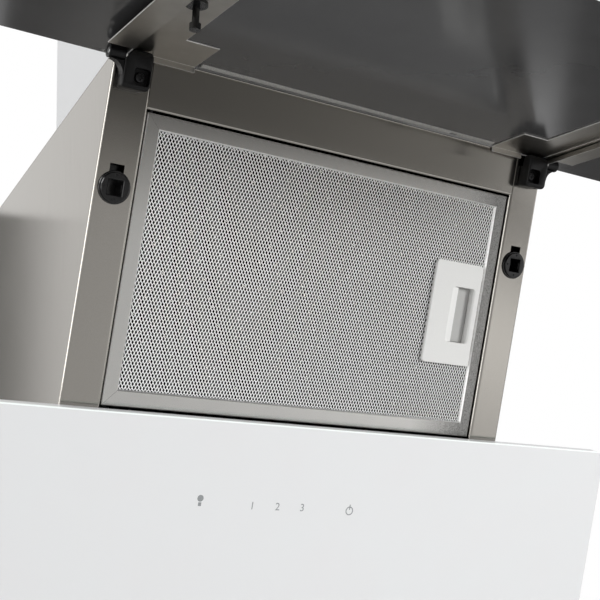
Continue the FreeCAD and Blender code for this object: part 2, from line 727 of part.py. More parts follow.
def filter_rails():
    """The filter's four channel rails, mitred at the corners."""
    outer = box((-FILTER_X, FILTER_X), (FILTER_BOTTOM, FILTER_TOP), (FILTER_BACK, FILTER_FACE))
    inner_x = FILTER_X - BAND_W
    inner_s = (FILTER_BOTTOM + BAND_W, FILTER_TOP - BAND_W)
    opening = box((-inner_x, inner_x), inner_s, (FILTER_BACK, FILTER_FACE))
    web_x = FILTER_X - RAIL_SHEET
    web_s = (FILTER_BOTTOM + RAIL_SHEET, FILTER_TOP - RAIL_SHEET)
    channel = box((-web_x, web_x), web_s, (CHANNEL_BACK, CHANNEL_FACE))
    frame = outer.cut([opening, channel, tongue_way(0, FILTER_X)])
    top_left = (-FILTER_X, FILTER_TOP)
    top_right = (FILTER_X, FILTER_TOP)
    low_left = (-FILTER_X, FILTER_BOTTOM)
    low_right = (FILTER_X, FILTER_BOTTOM)
    middle = (FILTER_TOP + FILTER_BOTTOM) / 2
    left = (FILTER_H / 2 - FILTER_X, middle)
    right = (FILTER_X - FILTER_H / 2, middle)
    wedges = {
        "top": (top_left, top_right, right, left),
        "bottom": (low_left, low_right, right, left),
        "left": (top_left, left, low_left),
        "right": (top_right, right, low_right),
    }
    depth = Vector(0, 0, FILTER_T)
    return {
        side: on_front(frame.common(prism([Vector(x, s, FILTER_BACK) for x, s in wedge], depth)))
        for side, wedge in wedges.items()
    }


def net(back, face, cut_for_handle):
    """A layer of the filter: one sheet with diamond holes, cut out where the handle's box goes through."""
    half = FILTER_X - RAIL_SHEET - MESH_GAP
    low = FILTER_BOTTOM + RAIL_SHEET + MESH_GAP
    high = FILTER_TOP - RAIL_SHEET - MESH_GAP
    open_x = FILTER_X - BAND_W
    open_low = FILTER_BOTTOM + BAND_W
    pitch_x = 2 * open_x / NET_COLUMNS
    pitch_s = (FILTER_H - 2 * BAND_W) / NET_ROWS
    reach_x = pitch_x * NET_OPEN / 2
    reach_s = pitch_s * NET_OPEN / 2
    keep = (HANDLE_LEFT, HANDLE_S - HANDLE_H / 2, HANDLE_S + HANDLE_H / 2)
    corners = [(-half, low), (half, low), (half, high), (-half, high)]
    if cut_for_handle:
        box_low = HANDLE_S - SLOT_H / 2 - HANDLE_WALL - MESH_GAP
        box_high = HANDLE_S + SLOT_H / 2 + HANDLE_WALL + MESH_GAP
        box_left = SLOT_LEFT - HANDLE_WALL - MESH_GAP
        notch = [(half, box_low), (box_left, box_low), (box_left, box_high), (half, box_high)]
        corners = corners[:2] + notch + corners[2:]
    wires = [Part.makePolygon([Vector(x, s, back) for x, s in corners + corners[:1]])]
    for column in range(NET_COLUMNS):
        x = -open_x + (column + 0.5) * pitch_x
        for row in range(NET_ROWS):
            s = open_low + (row + 0.5) * pitch_s
            behind_handle = x + reach_x > keep[0] and keep[1] < s + reach_s and s - reach_s < keep[2]
            if not behind_handle:
                diamond = [(x - reach_x, s), (x, s - reach_s), (x + reach_x, s), (x, s + reach_s)]
                wires.append(Part.makePolygon([Vector(a, b, back) for a, b in diamond + diamond[:1]]))
    sheet = Part.Face(wires[0]).cut([Part.Face(w) for w in wires[1:]])
    return on_front(sheet.extrude(Vector(0, 0, face - back)))


def filter_pegs():
    """Two pegs in line on the filter's left edge, on which it swings out."""
    top = rod(PEG_R, Vector(PEG_X, FILTER_TOP, PEG_O), Vector(PEG_X, PEG_REACH - RAIL_H, PEG_O))
    bottom = rod(PEG_R, Vector(PEG_X, FILTER_BOTTOM, PEG_O), Vector(PEG_X, SILL_S - PEG_REACH, PEG_O))
    return on_front(Part.makeCompound([top, bottom]))


def filter_handle():
    """Moulded handle plate with a finger slot, and the box behind it in which the latch slides."""
    high = (HANDLE_S - HANDLE_H / 2, HANDLE_S + HANDLE_H / 2)
    plate = box((HANDLE_LEFT, HANDLE_RIGHT), high, (CHANNEL_FACE, HANDLE_FRONT))
    plate = rounded_upright(plate, HANDLE_ROUND)
    slot_s = (HANDLE_S - SLOT_H / 2, HANDLE_S + SLOT_H / 2)
    wall_s = (slot_s[0] - HANDLE_WALL, slot_s[1] + HANDLE_WALL)
    back = box((SLOT_LEFT - HANDLE_WALL, HANDLE_RIGHT), wall_s, (POCKET_BACK, CHANNEL_FACE))
    slot = box((SLOT_LEFT, SLOT_RIGHT), slot_s, (POCKET_BACK + POCKET_FLOOR, HANDLE_FRONT))
    edge = HANDLE_FRONT - SLOT_BEVEL
    corners = [(SLOT_LEFT, edge), (SLOT_LEFT, HANDLE_FRONT), (SLOT_LEFT - SLOT_BEVEL, HANDLE_FRONT)]
    bevel = prism([Vector(x, slot_s[0], o) for x, o in corners], Vector(0, SLOT_H, 0))
    return on_front(joined(plate, back).cut([slot, bevel, tongue_way(SLOT_RIGHT, HANDLE_RIGHT)]))


def latch_slider():
    """Latch: a sloping grip in the finger slot and a tongue towards the right post."""
    low = HANDLE_S - SLOT_H / 2 + LATCH_GAP
    floor = POCKET_BACK + POCKET_FLOOR + LATCH_GAP
    right = SLOT_RIGHT - LATCH_GAP
    left = right - LATCH_GRIP_W
    corners = [
        (left, floor),
        (right, floor),
        (right, HANDLE_FRONT - LATCH_GRIP_SINK),
        (left, floor + LATCH_GRIP_EDGE),
    ]
    grip = prism([Vector(x, low, o) for x, o in corners], Vector(0, SLOT_H - 2 * LATCH_GAP, 0))
    tongue_s = (HANDLE_S - TONGUE_W / 2, HANDLE_S + TONGUE_W / 2)
    tongue_o = (TONGUE_O - TONGUE_T / 2, TONGUE_O + TONGUE_T / 2)
    return on_front(joined(grip, box((right, BAY_X - TONGUE_SHORT), tongue_s, tongue_o)))


def scroll_half():
    """Right half of the fan housing: a drum with an inlet, and a neck up to the outlet."""
    axis = Vector(0, FAN_Y, FAN_Z)
    drum = rod(SCROLL_R, axis, axis + X_WAY * SCROLL_X)
    neck_y = (FAN_Y - NECK_D / 2, FAN_Y + NECK_D / 2)
    neck = box((0, SCROLL_X), neck_y, (FAN_Z, UNDER_TOP))
    inner_x = SCROLL_X - SCROLL_WALL
    hollow = rod(SCROLL_R - SCROLL_WALL, axis - X_WAY, axis + X_WAY * inner_x)
    inner_y = (neck_y[0] + SCROLL_WALL, neck_y[1] - SCROLL_WALL)
    air = box((-SCROLL_WALL, inner_x), inner_y, (FAN_Z, TOP_Z))
    inlet = rod(INLET_R, axis, axis + X_WAY * 2 * SCROLL_X)
    ear_x = (SCROLL_X - SCROLL_WALL, SCROLL_X + EAR_L)
    ears = [
        box(ear_x, (y - EAR_W / 2, y + EAR_W / 2), (UNDER_TOP - EAR_T, UNDER_TOP))
        for y in (FAN_Y - EAR_SIDE, FAN_Y + EAR_SIDE)
    ]
    cuts = [hollow, air, inlet] + shank_holes(scroll_screws() + spider_screws(), 2 * SCROLL_WALL + EAR_T)
    return joined(drum, neck, *ears).cut(cuts)


def spider_points(radius):
    """Points round the fan's axis on the spider's outer face, one on each arm."""
    x = -SCROLL_X - SPIDER_T
    angles = [math.radians(90 + 360 * n / SPIDER_ARMS) for n in range(SPIDER_ARMS)]
    return [Vector(x, FAN_Y + radius * math.cos(a), FAN_Z + radius * math.sin(a)) for a in angles]


def spider_screws():
    """Seat and way of the screws from the spider's arms into the fan housing, on both sides alike."""
    seats = spider_points((INLET_R + SPIDER_R) / 2)
    return [(seat, X_WAY) for seat in seats] + [(Vector(-p.x, p.y, p.z), -X_WAY) for p in seats]


def motor_bracket():
    """Three-armed spider over the left inlet that carries the motor."""
    outer = Vector(-SCROLL_X - SPIDER_T, FAN_Y, FAN_Z)
    plate = rod(SPIDER_HUB_R, outer, outer + X_WAY * SPIDER_T)
    arm_z = (FAN_Z - SPIDER_ARM_W / 2, FAN_Z + SPIDER_ARM_W / 2)
    arms = []
    for n in range(SPIDER_ARMS):
        arm = box((outer.x, outer.x + SPIDER_T), (FAN_Y, FAN_Y + SPIDER_R), arm_z)
        arm.rotate(outer, X_WAY, 90 + 360 * n / SPIDER_ARMS)
        arms.append(arm)
    return joined(plate, *arms).cut(shank_holes(all_motor_screws(), MOTOR_SCREW_L))


def all_motor_screws():
    """Seat and way of every screw through the spider."""
    inner = [(seat, X_WAY) for seat in spider_points(MOTOR_SCREW_PCD_R)]
    return inner + spider_screws()[:SPIDER_ARMS]


def motor_screws():
    """The screws through the spider, into the motor and into the fan housing."""
    near = [screw(seat, X_WAY, MOTOR_SCREW_L) for seat in spider_points(MOTOR_SCREW_PCD_R)]
    far = [screw(seat, way, SPIDER_T + SCROLL_WALL) for seat, way in spider_screws()[:SPIDER_ARMS]]
    return Part.makeCompound(near + far)


def motor():
    """Round motor on the spider, reaching into the left half of the impeller."""
    outer = Vector(-SCROLL_X, FAN_Y, FAN_Z)
    inner = Vector(-HUB_L / 2 - MOTOR_GAP, FAN_Y, FAN_Z)
    bore = rod(SHAFT_R + RUN_GAP, inner - X_WAY * (SHAFT_SINK + END_GAP), inner)
    screws = all_motor_screws()[:SPIDER_ARMS]
    return rod(MOTOR_R, outer, inner).cut([bore] + shank_holes(screws, MOTOR_SCREW_L + SPIDER_T))


def motor_shaft():
    """Shaft that turns the impeller."""
    start = -HUB_L / 2 - MOTOR_GAP - SHAFT_SINK
    return rod(SHAFT_R, Vector(start, FAN_Y, FAN_Z), Vector(HUB_L / 2, FAN_Y, FAN_Z))


def impeller():
    """Double drum wheel: a middle disc on a hub, angled blades and two end rings."""
    axis = Vector(0, FAN_Y, FAN_Z)
    half = X_WAY * (IMPELLER_W / 2)
    disc = rod(IMPELLER_R, axis - X_WAY * DISC_T / 2, axis + X_WAY * DISC_T / 2)
    hub = rod(HUB_R, axis - X_WAY * HUB_L / 2, axis + X_WAY * HUB_L / 2)
    rings = []
    for end, inwards in ((axis - half, X_WAY), (axis + half, -X_WAY)):
        ring = rod(IMPELLER_R, end, end + inwards * END_RING_T)
        rings.append(ring.cut(rod(IMPELLER_R - END_RING_W, end, end + inwards * END_RING_T)))
    blade_r = IMPELLER_R - BLADE_DEPTH / 2
    blade_x = (-IMPELLER_W / 2, IMPELLER_W / 2)
    blades = []
    for n in range(BLADES):
        blade = box(blade_x, (-BLADE_DEPTH / 2, BLADE_DEPTH / 2), (-BLADE_T / 2, BLADE_T / 2))
        blade.rotate(Vector(0, 0, 0), X_WAY, BLADE_TURN)
        blade.translate(Vector(0, FAN_Y + blade_r, FAN_Z))
        blade.rotate(axis, X_WAY, 360 * n / BLADES)
        blades.append(blade)
    bore = rod(SHAFT_R + RUN_GAP, axis - half, axis + half)
    return joined(disc, hub, *rings, *blades).cut(bore)


def outlet_collar():
    """Round spigot for a 150 duct, with holes for the flaps' pins."""
    foot = Vector(0, FAN_Y, TOP_Z)
    up = Vector(0, 0, 1)
    flange = rod(COLLAR_FLANGE_R, foot, foot + up * COLLAR_FLANGE_T)
    tube = rod(COLLAR_R, foot, foot + up * (COLLAR_FLANGE_T + COLLAR_H))
    bore = rod(COLLAR_BORE_R, foot, foot + up * (COLLAR_FLANGE_T + COLLAR_H))
    pins = [flap_pin(side, FLAP_PIN_R + RUN_GAP, COLLAR_R) for side in (-1, 1)]
    return joined(flange, tube).cut([bore] + pins)


def flap_pin(side, radius, half):
    """A flap's pin across the collar, in front of its middle for side -1 and behind it for 1."""
    at = Vector(0, FAN_Y + side * FLAP_APART, FLAP_Z)
    return rod(radius, at - X_WAY * half, at + X_WAY * half)


def damper_flap(side):
    """Half-round flap on its pin, level when closed."""
    middle = Vector(0, FAN_Y, FLAP_Z - FLAP_T / 2)
    disc = rod(COLLAR_BORE_R - FLAP_GAP, middle, middle + Vector(0, 0, FLAP_T))
    near = FAN_Y + side * FLAP_APART
    far = FAN_Y + side * COLLAR_R
    half = disc.common(box((-FAR, FAR), sorted((near, far)), (FLAP_Z - FLAP_T, FLAP_Z + FLAP_T)))
    return joined(half, flap_pin(side, FLAP_PIN_R, COLLAR_R - COLLAR_WALL / 2))


def cable_gland():
    """Gland for the mains cord in the top panel, beside the outlet."""
    at = Vector(GLAND_X, GLAND_Y, TOP_Z)
    up = Vector(0, 0, GLAND_NUT_T)
    upper = rod(GLAND_NUT_R, at, at + up)
    stem = rod(GLAND_R, at - up - Vector(0, 0, SHEET), at + up)
    lower = rod(GLAND_NUT_R, at - up - Vector(0, 0, SHEET), at - Vector(0, 0, SHEET))
    return joined(upper, stem, lower).cut(rod(GLAND_BORE_R, at - up * 2, at + up * 2))


def flue_cover(half, front, back, low, high, foot):
    """Three-sided sheet cover with inturned edges at the wall, and at its foot if asked."""
    outer = box((-half, half), (front, back), (low, high))
    inner = box((SHEET - half, half - SHEET), (front + SHEET, back - SHEET), (low, high))
    behind = box((SHEET + FLANGE_W - half, half - SHEET - FLANGE_W), (back - SHEET, back), (low, high))
    cover = outer.cut([inner, behind])
    if not foot:
        return cover
    rim = box((SHEET - half, half - SHEET), (front + SHEET, back), (low, low + SHEET))
    inside = SHEET + FLANGE_W
    hole = box((inside - half, half - inside), (front + inside, back), (low, low + SHEET))
    return joined(cover, rim.cut(hole)).cut(shank_holes(chimney_screws(), 2 * SHEET))


def chimney_lower():
    """Fixed flue cover on the top panel."""
    return flue_cover(CHIMNEY_W / 2, -CHIMNEY_D, 0, TOP_Z, TOP_Z + CHIMNEY_H, True)


def chimney_upper():
    """Sliding flue cover, lowered into the fixed one."""
    inset = SHEET + CHIMNEY_GAP
    low = TOP_Z + SHEET + CHIMNEY_SEAT
    high = TOP_Z + CHIMNEY_H + CHIMNEY_SHOW
    return flue_cover(CHIMNEY_W / 2 - inset, inset - CHIMNEY_D, -SHEET - CHIMNEY_SEAT, low, high, False)


def control_box():
    """Box for the electronics on the rear panel, with bosses under the board."""
    half = CONTROL_W / 2
    wall = CONTROL_WALL
    outer = box((-half, half), (CONTROL_FRONT, -SHEET), (CONTROL_BOTTOM, CONTROL_TOP))
    inner_z = (CONTROL_BOTTOM + wall, CONTROL_TOP - wall)
    hollow = box((wall - half, half - wall), (CONTROL_FRONT, -SHEET - wall), inner_z)
    bosses = [rod(BOSS_R, p, p - Vector(0, BOSS_H, 0)) for p in boss_points()]
    return joined(outer.cut(hollow), *bosses)


def boss_points():
    """Feet of the bosses, on the control box's floor."""
    inset = CONTROL_WALL + BOARD_GAP + 2 * BOSS_R
    half = CONTROL_W / 2 - inset
    heights = (CONTROL_BOTTOM + inset, CONTROL_TOP - inset)
    return [Vector(x, -SHEET - CONTROL_WALL, z) for x in (-half, half) for z in heights]


def control_lid():
    """Lid of the control box."""
    half = CONTROL_W / 2
    return box((-half, half), (CONTROL_FRONT - CONTROL_WALL, CONTROL_FRONT), (CONTROL_BOTTOM, CONTROL_TOP))


def control_board():
    """Circuit board on the control box's bosses."""
    inset = CONTROL_WALL + BOARD_GAP
    half = CONTROL_W / 2 - inset
    back = -SHEET - CONTROL_WALL - BOSS_H
    return box((-half, half), (back - BOARD_T, back), (CONTROL_BOTTOM + inset, CONTROL_TOP - inset))


def capacitor():
    """Motor capacitor lying on the control box."""
    y = -SHEET - CAPACITOR_R - CAPACITOR_GAP
    z = CONTROL_TOP + CAPACITOR_R + CAPACITOR_GAP
    return rod(CAPACITOR_R, Vector(-CAPACITOR_L / 2, y, z), Vector(CAPACITOR_L / 2, y, z))


def body_screws():
    """Every screw that holds the sheets, the flue cover, the fan housing and the lower glass."""
    through_two = rear_screws() + top_screws() + chimney_screws()
    two_sheets = [screw(seat, way, 2 * SHEET) for seat, way in through_two]
    ears = [screw(seat, way, SHEET + EAR_T) for seat, way in scroll_screws()]
    posts = [on_front(screw(seat, way, 2 * SHEET)) for seat, way in glass_screws()]
    return Part.makeCompound(two_sheets + ears + posts)


def pair(name, right):
    """A right-hand piece and its mirror image, by name."""
    return {name + "_right": right, name + "_left": mirrored(right)}


def both(right):
    """A right-hand piece and its mirror image as one group."""
    return Part.makeCompound([right, mirrored(right)])


def filter_layers():
    """The filter's three layers of net, front to back."""
    front_back = CHANNEL_FACE - MESH_T
    core_back = CHANNEL_BACK + MESH_T
    return {
        "filter_mesh_front": net(front_back, CHANNEL_FACE, True),
        "filter_core": net(core_back, front_back, True),
        "filter_mesh_back": net(CHANNEL_BACK, core_back, False),
    }


def all_pieces():
    """Every piece by name."""
    pieces = {
        "top_panel": top_panel(),
        "front_rail": front_rail(),
        "rear_panel": rear_panel(),
        "bottom_panel": bottom_panel(),
        "lower_front_panel": lower_front_panel(),
        "lower_glass": lower_glass(),
        "touch_board": touch_board(),
        "touch_tray": touch_tray(),
        "lamp_boards": both(lamp_board()),
        "hinge_screws": both(hinge_screw()),
        "upper_glass": upper_glass(),
        "panel_bumpers": both(bumper()),
        "panel_seal": panel_seal(),
        "filter_pegs": filter_pegs(),
        "filter_handle": filter_handle(),
        "latch_slider": latch_slider(),
        "motor_bracket": motor_bracket(),
        "motor_screws": motor_screws(),
        "motor": motor(),
        "motor_shaft": motor_shaft(),
        "impeller": impeller(),
        "outlet_collar": outlet_collar(),
        "damper_flap_front": damper_flap(-1),
        "damper_flap_rear": damper_flap(1),
        "cable_gland": cable_gland(),
        "chimney_lower": chimney_lower(),
        "chimney_upper": chimney_upper(),
        "control_box": control_box(),
        "control_lid": control_lid(),
        "control_board": control_board(),
        "capacitor": capacitor(),
        "body_screws": body_screws(),
    }
    pieces.update(filter_layers())
    pieces.update({"filter_rail_" + side: rail for side, rail in filter_rails().items()})
    pieces.update(pair("side_panel", side_panel()))
    pieces.update(pair("filter_stop", filter_stop()))
    pieces.update(pair("glass_bracket", glass_bracket()))
    pieces.update(pair("lamp", lamp()))
    pieces.update(pair("lamp_lens", lamp_lens()))
    pieces.update(pair("hinge_block", hinge_block()))
    pieces.update(pair("hinge_pin", hinge_pin()))
    pieces.update(pair("hinge_bush", hinge_bush()))
    pieces.update(pair("panel_bracket", panel_bracket()))
    pieces.update(pair("catch_stud", catch_stud()))
    pieces.update(pair("catch_socket", catch_socket()))
    pieces.update(pair("scroll_half", scroll_half()))
    return pieces


os.makedirs("parts", exist_ok=True)
for name, shape in all_pieces().items():
    print(name, "valid" if shape.isValid() else "NOT VALID", len(shape.Solids), round(shape.Volume))
    solid = shape.Solids[0] if len(shape.Solids) == 1 else Part.makeCompound(shape.Solids)
    solid.exportStep("parts/" + name + ".step")
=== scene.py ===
"""Looks of a slanted wall hood with its upper glass panel swung open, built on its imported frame.

Metres, +X to the right as one faces the hood, +Y into the wall and +Z up. Pieces of the slanted front are
drawn in the front's own directions: x to the right, s up the slope and o outwards from it.
"""
import json
import math

import bmesh
import bpy
from bpy.props import FloatProperty, FloatVectorProperty, PointerProperty
from mathutils import Matrix, Vector


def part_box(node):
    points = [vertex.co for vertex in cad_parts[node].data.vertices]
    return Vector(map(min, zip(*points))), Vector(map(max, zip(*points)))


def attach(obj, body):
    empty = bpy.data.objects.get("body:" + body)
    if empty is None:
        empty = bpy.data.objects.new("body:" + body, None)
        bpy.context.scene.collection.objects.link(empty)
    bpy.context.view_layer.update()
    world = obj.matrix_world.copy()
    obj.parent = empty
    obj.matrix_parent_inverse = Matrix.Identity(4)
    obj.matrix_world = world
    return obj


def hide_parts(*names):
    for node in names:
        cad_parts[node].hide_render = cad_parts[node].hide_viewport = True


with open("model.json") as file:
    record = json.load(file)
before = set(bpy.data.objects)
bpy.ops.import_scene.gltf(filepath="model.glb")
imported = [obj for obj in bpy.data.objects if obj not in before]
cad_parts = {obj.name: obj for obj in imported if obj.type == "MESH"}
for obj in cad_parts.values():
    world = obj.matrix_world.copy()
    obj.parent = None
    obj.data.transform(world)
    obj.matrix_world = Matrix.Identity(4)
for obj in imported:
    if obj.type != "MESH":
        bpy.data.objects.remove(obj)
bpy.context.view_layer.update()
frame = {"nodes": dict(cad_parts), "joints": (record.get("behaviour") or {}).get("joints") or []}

bl_info = {
    "name": "Slanted wall hood",
    "version": (1, 0, 0),
    "blender": (4, 5, 0),
    "location": "3D View > Sidebar > Hood",
    "description": "Builds the looks of a slanted wall hood on its packed frame",
    "category": "Object",
}

MM = 0.001
TOUCHING = 0.0001 * MM  # points nearer than this are one
JOINTS = {joint["name"]: joint for joint in frame["joints"]}
SIDES = {"left": -1, "right": 1}

# The slanted front's own directions, from the middle of its top edge
ACROSS = Vector((1, 0, 0))
UP_SLOPE = -Vector(JOINTS["filter_swing"]["axis"])
OUT = ACROSS.cross(UP_SLOPE)
TOP_EDGE = Vector((0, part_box("top_panel")[0].y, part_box("top_panel")[1].z))
FRONT = Matrix.Translation(TOP_EDGE) @ Matrix((ACROSS, UP_SLOPE, OUT)).transposed().to_4x4()

# Nearly upright, so that no sheet lies square to it
UPRIGHT = (0.02, 0.01, 1.0)

# The same directions turned with the upper panel as it stands open
PIVOT = Vector(JOINTS["panel_hinge"]["pos_m"])
OPENED = Matrix.Rotation(math.radians(JOINTS["panel_hinge"]["range_deg"][0]), 4, "X")
PANEL = Matrix.Translation(PIVOT) @ OPENED @ Matrix.Translation(-PIVOT) @ FRONT


def linear(colour):
    """An sRGB hex colour as linear red, green, blue and alpha."""
    parts = [int(colour[i:i + 2], 16) / 255 for i in (1, 3, 5)]
    return [p / 12.92 if p <= 0.04045 else ((p + 0.055) / 1.055) ** 2.4 for p in parts] + [1.0]


def extent(node, place):
    """A CAD node's lowest and highest corners along the directions of a placement."""
    back = place.inverted()
    points = [back @ vertex.co for vertex in frame["nodes"][node].data.vertices]
    low = Vector([min(point[axis] for point in points) for axis in range(3)])
    high = Vector([max(point[axis] for point in points) for axis in range(3)])
    return low, high


def rounded(low, high, radius, steps=5):
    """Points round a rectangle with rounded corners."""
    inner = [(high[0] - radius, low[1] + radius), (high[0] - radius, high[1] - radius)]
    inner += [(low[0] + radius, high[1] - radius), (low[0] + radius, low[1] + radius)]
    points = []
    for corner, (u, v) in enumerate(inner):
        for step in range(steps + 1):
            turn = math.radians(90 * (corner - 1 + step / steps))
            points.append((u + radius * math.cos(turn), v + radius * math.sin(turn)))
    return points


def about(middle, across, along, bottom=0, top=0):
    """The lowest and highest corners of a box about a point."""
    return (middle[0] - across, middle[1] - along, bottom), (middle[0] + across, middle[1] + along, top)


def inset(low, high, by, radius, steps=5):
    """Points round a rectangle with rounded corners that lies some way inside two corners."""
    return rounded((low[0] + by, low[1] + by), (high[0] - by, high[1] - by), radius, steps)


def circle(middle, radius, steps=8):
    """Points round a circle, as many as a rounded rectangle of the same steps has."""
    return rounded(*about(middle, radius, radius), radius, steps)


def arc(start, end, steps):
    """Cosines and sines of evenly spaced turns, from one angle in degrees to another."""
    turns = [math.radians(start + (end - start) * step / steps) for step in range(steps + 1)]
    return [(math.cos(turn), math.sin(turn)) for turn in turns]


def level(points, height):
    """Flat points at one height along the third direction."""
    return [Vector((u, v, height)) for u, v in points]


def disc(middle, radius, height):
    """Points round a circle at one height."""
    return level(circle(middle, radius), height)


def drawn(outline, ends):
    """An outline of s and o at each of some places along x."""
    return [[Vector((x, s, o)) for s, o in outline] for x in ends]


def skin(mesh, loops, closed=False):
    """Adds a skin through loops of points to a mesh; its ends are capped, or met where it is closed."""
    rings = [[mesh.verts.new(point) for point in loop] for loop in loops]
    pairs = list(zip(rings, rings[1:]))
    if closed:
        pairs.append((rings[-1], rings[0]))
    else:
        mesh.faces.new(rings[0][::-1])
        mesh.faces.new(rings[-1])
    for first, second in pairs:
        for i in range(len(first)):
            j = (i + 1) % len(first)
            mesh.faces.new((first[i], first[j], second[j], second[i]))
    return mesh


def block(mesh, low, high, edge):
    """Adds a block with bevelled edges to a mesh."""
    size = Vector(high) - Vector(low)
    middle = (Vector(high) + Vector(low)) / 2
    place = Matrix.Translation(middle) @ Matrix.Diagonal(size).to_4x4()
    made = bmesh.ops.create_cube(mesh, size=1.0, matrix=place)
    edges = list({e for v in made["verts"] for e in v.link_edges})
    bmesh.ops.bevel(mesh, geom=edges, offset=edge, segments=2, profile=0.5, affect="EDGES")


def folded(points, thickness, bends, steps=5):
    """The outline of a sheet folded through points on its middle; the last radius holds for further bends."""
    points = [Vector(point) for point in points]
    path = []
    for i, point in enumerate(points):
        before = (point - points[i - 1]).normalized() if i else None
        after = (points[i + 1] - point).normalized() if i + 1 < len(points) else None
        if before is None or after is None:
            way = before or after
            path.append((point, Vector((-way.y, way.x))))
            continue
        turn = math.atan2(before.x * after.y - before.y * after.x, before.dot(after))
        side = math.copysign(1, turn)
        bend = bends[min(i, len(bends)) - 1]
        start = point - before * bend * math.tan(abs(turn) / 2)
        normal = Vector((-before.y, before.x))
        centre = start + normal * bend * side
        for step in range(steps + 1):
            swing = Matrix.Rotation(turn * step / steps, 2)
            path.append((centre + swing @ (start - centre), swing @ normal))
    left = [point + normal * thickness / 2 for point, normal in path]
    right = [point - normal * thickness / 2 for point, normal in path]
    return left + right[::-1]


def solid(name, mesh, place):
    """A new object made of a mesh that is set in its place."""
    bmesh.ops.remove_doubles(mesh, verts=mesh.verts, dist=TOUCHING)
    bmesh.ops.recalc_face_normals(mesh, faces=mesh.faces)
    data = bpy.data.meshes.new(name)
    mesh.to_mesh(data)
    mesh.free()
    data.transform(place)
    made = bpy.data.objects.new(name, data)
    bpy.context.scene.collection.objects.link(made)
    return made


def piece(name, mesh, place, materials, body, nodes=(), sharp=35):
    """Makes a piece from a mesh, set in its place, that rides on a body and stands for CAD nodes."""
    made = solid(name, mesh, place)
    for material in materials:
        made.data.materials.append(material)
    made.data.shade_smooth()
    made.data.set_sharp_from_angle(angle=math.radians(sharp))
    even(made)
    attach(made, body)
    if nodes:
        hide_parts(*nodes)
    return made


def even(made):
    """Shades flat faces flat right up to the rounded edges beside them."""
    normals = made.modifiers.new("normals", "WEIGHTED_NORMAL")
    normals.weight = 90
    normals.keep_sharp = True


def pierce(made, low, high, radius, place):
    """Cuts a hole with rounded corners through a piece."""
    outline = rounded(low, high, radius, 8)
    cutter = solid("cutter", skin(bmesh.new(), [level(outline, z) for z in (low[2], high[2])]), place)
    made.modifiers.clear()
    cut = made.modifiers.new("hole", "BOOLEAN")
    cut.object = cutter
    cut.solver = "EXACT"
    bpy.context.view_layer.update()
    shape = made.evaluated_get(bpy.context.evaluated_depsgraph_get())
    old = made.data
    made.data = bpy.data.meshes.new_from_object(shape)
    made.modifiers.clear()
    for data in (old, cutter.data):  # the cutter goes with its mesh
        bpy.data.meshes.remove(data)
    even(made)


def both(stem):
    """The names of a left and a right CAD node."""
    return [stem + "_" + side for side in SIDES]


def coat(material, *nodes):
    """Gives CAD nodes a material."""
    for name in nodes:
        data = frame["nodes"][name].data
        data.materials.clear()
        data.materials.append(material)


def soften(width, material, *nodes):
    """Rounds the edges of CAD nodes and gives them a material."""
    for name in nodes:
        made = frame["nodes"][name]
        made.modifiers.new("join", "WELD").merge_threshold = 10 * TOUCHING
        bevel = made.modifiers.new("edges", "BEVEL")
        bevel.width = width
        bevel.segments = 2
        bevel.limit_method = "ANGLE"
        made.data.materials.append(material)
        bevel.material = len(made.data.materials) - 1


def wire(tree, node, inputs):
    """Sets a node's inputs to values, or links them to other nodes' outputs."""
    for name, value in inputs.items():
        if isinstance(value, bpy.types.NodeSocket):
            tree.links.new(value, node.inputs[name])
        else:
            node.inputs[name].default_value = value


def add(tree, kind, inputs=None, **settings):
    """Adds a node with its settings and links."""
    node = tree.nodes.new(kind)
    for name, value in settings.items():
        setattr(node, name, value)
    wire(tree, node, inputs or {})
    return node


def surface(name, metallic, roughness):
    """A new material, its tree, its shader and the coordinates of the piece it is on."""
    made = bpy.data.materials.new(name)
    made.use_nodes = True
    tree = made.node_tree
    shader = tree.nodes["Principled BSDF"]
    wire(tree, shader, {"Metallic": metallic, "Roughness": roughness})
    return made, tree, shader, add(tree, "ShaderNodeTexCoord").outputs["Object"]


def finish(make):
    """The material that a function makes, made at its first use."""
    return bpy.data.materials.get(make.__name__) or make(make.__name__, bpy.context.scene.hood_colours)


def grained(name, metallic, roughness, shades, grain, detail=2.0, relief=None, inputs=None):
    """A material whose grain, of a real size, wanders between two shades and may stand up in relief."""
    made, tree, shader, place = surface(name, metallic, roughness)
    pattern = {"Vector": place, "Scale": 1 / grain, "Detail": detail}
    waves = add(tree, "ShaderNodeTexNoise", pattern).outputs[0]
    mix = {"Factor": waves, "A": shades[0], "B": shades[1]}
    tint = add(tree, "ShaderNodeMix", mix, data_type="RGBA")
    wire(tree, shader, {"Base Color": tint.outputs["Result"], **(inputs or {})})
    if relief:
        strength, height = relief
        bump = add(tree, "ShaderNodeBump", {"Height": waves, "Strength": strength, "Distance": height})
        wire(tree, shader, {"Normal": bump.outputs[0]})
    return made


# Strength and height of the fine grain on plastics, rubber and foam
FINE_RELIEF = (0.15, 0.03 * MM)


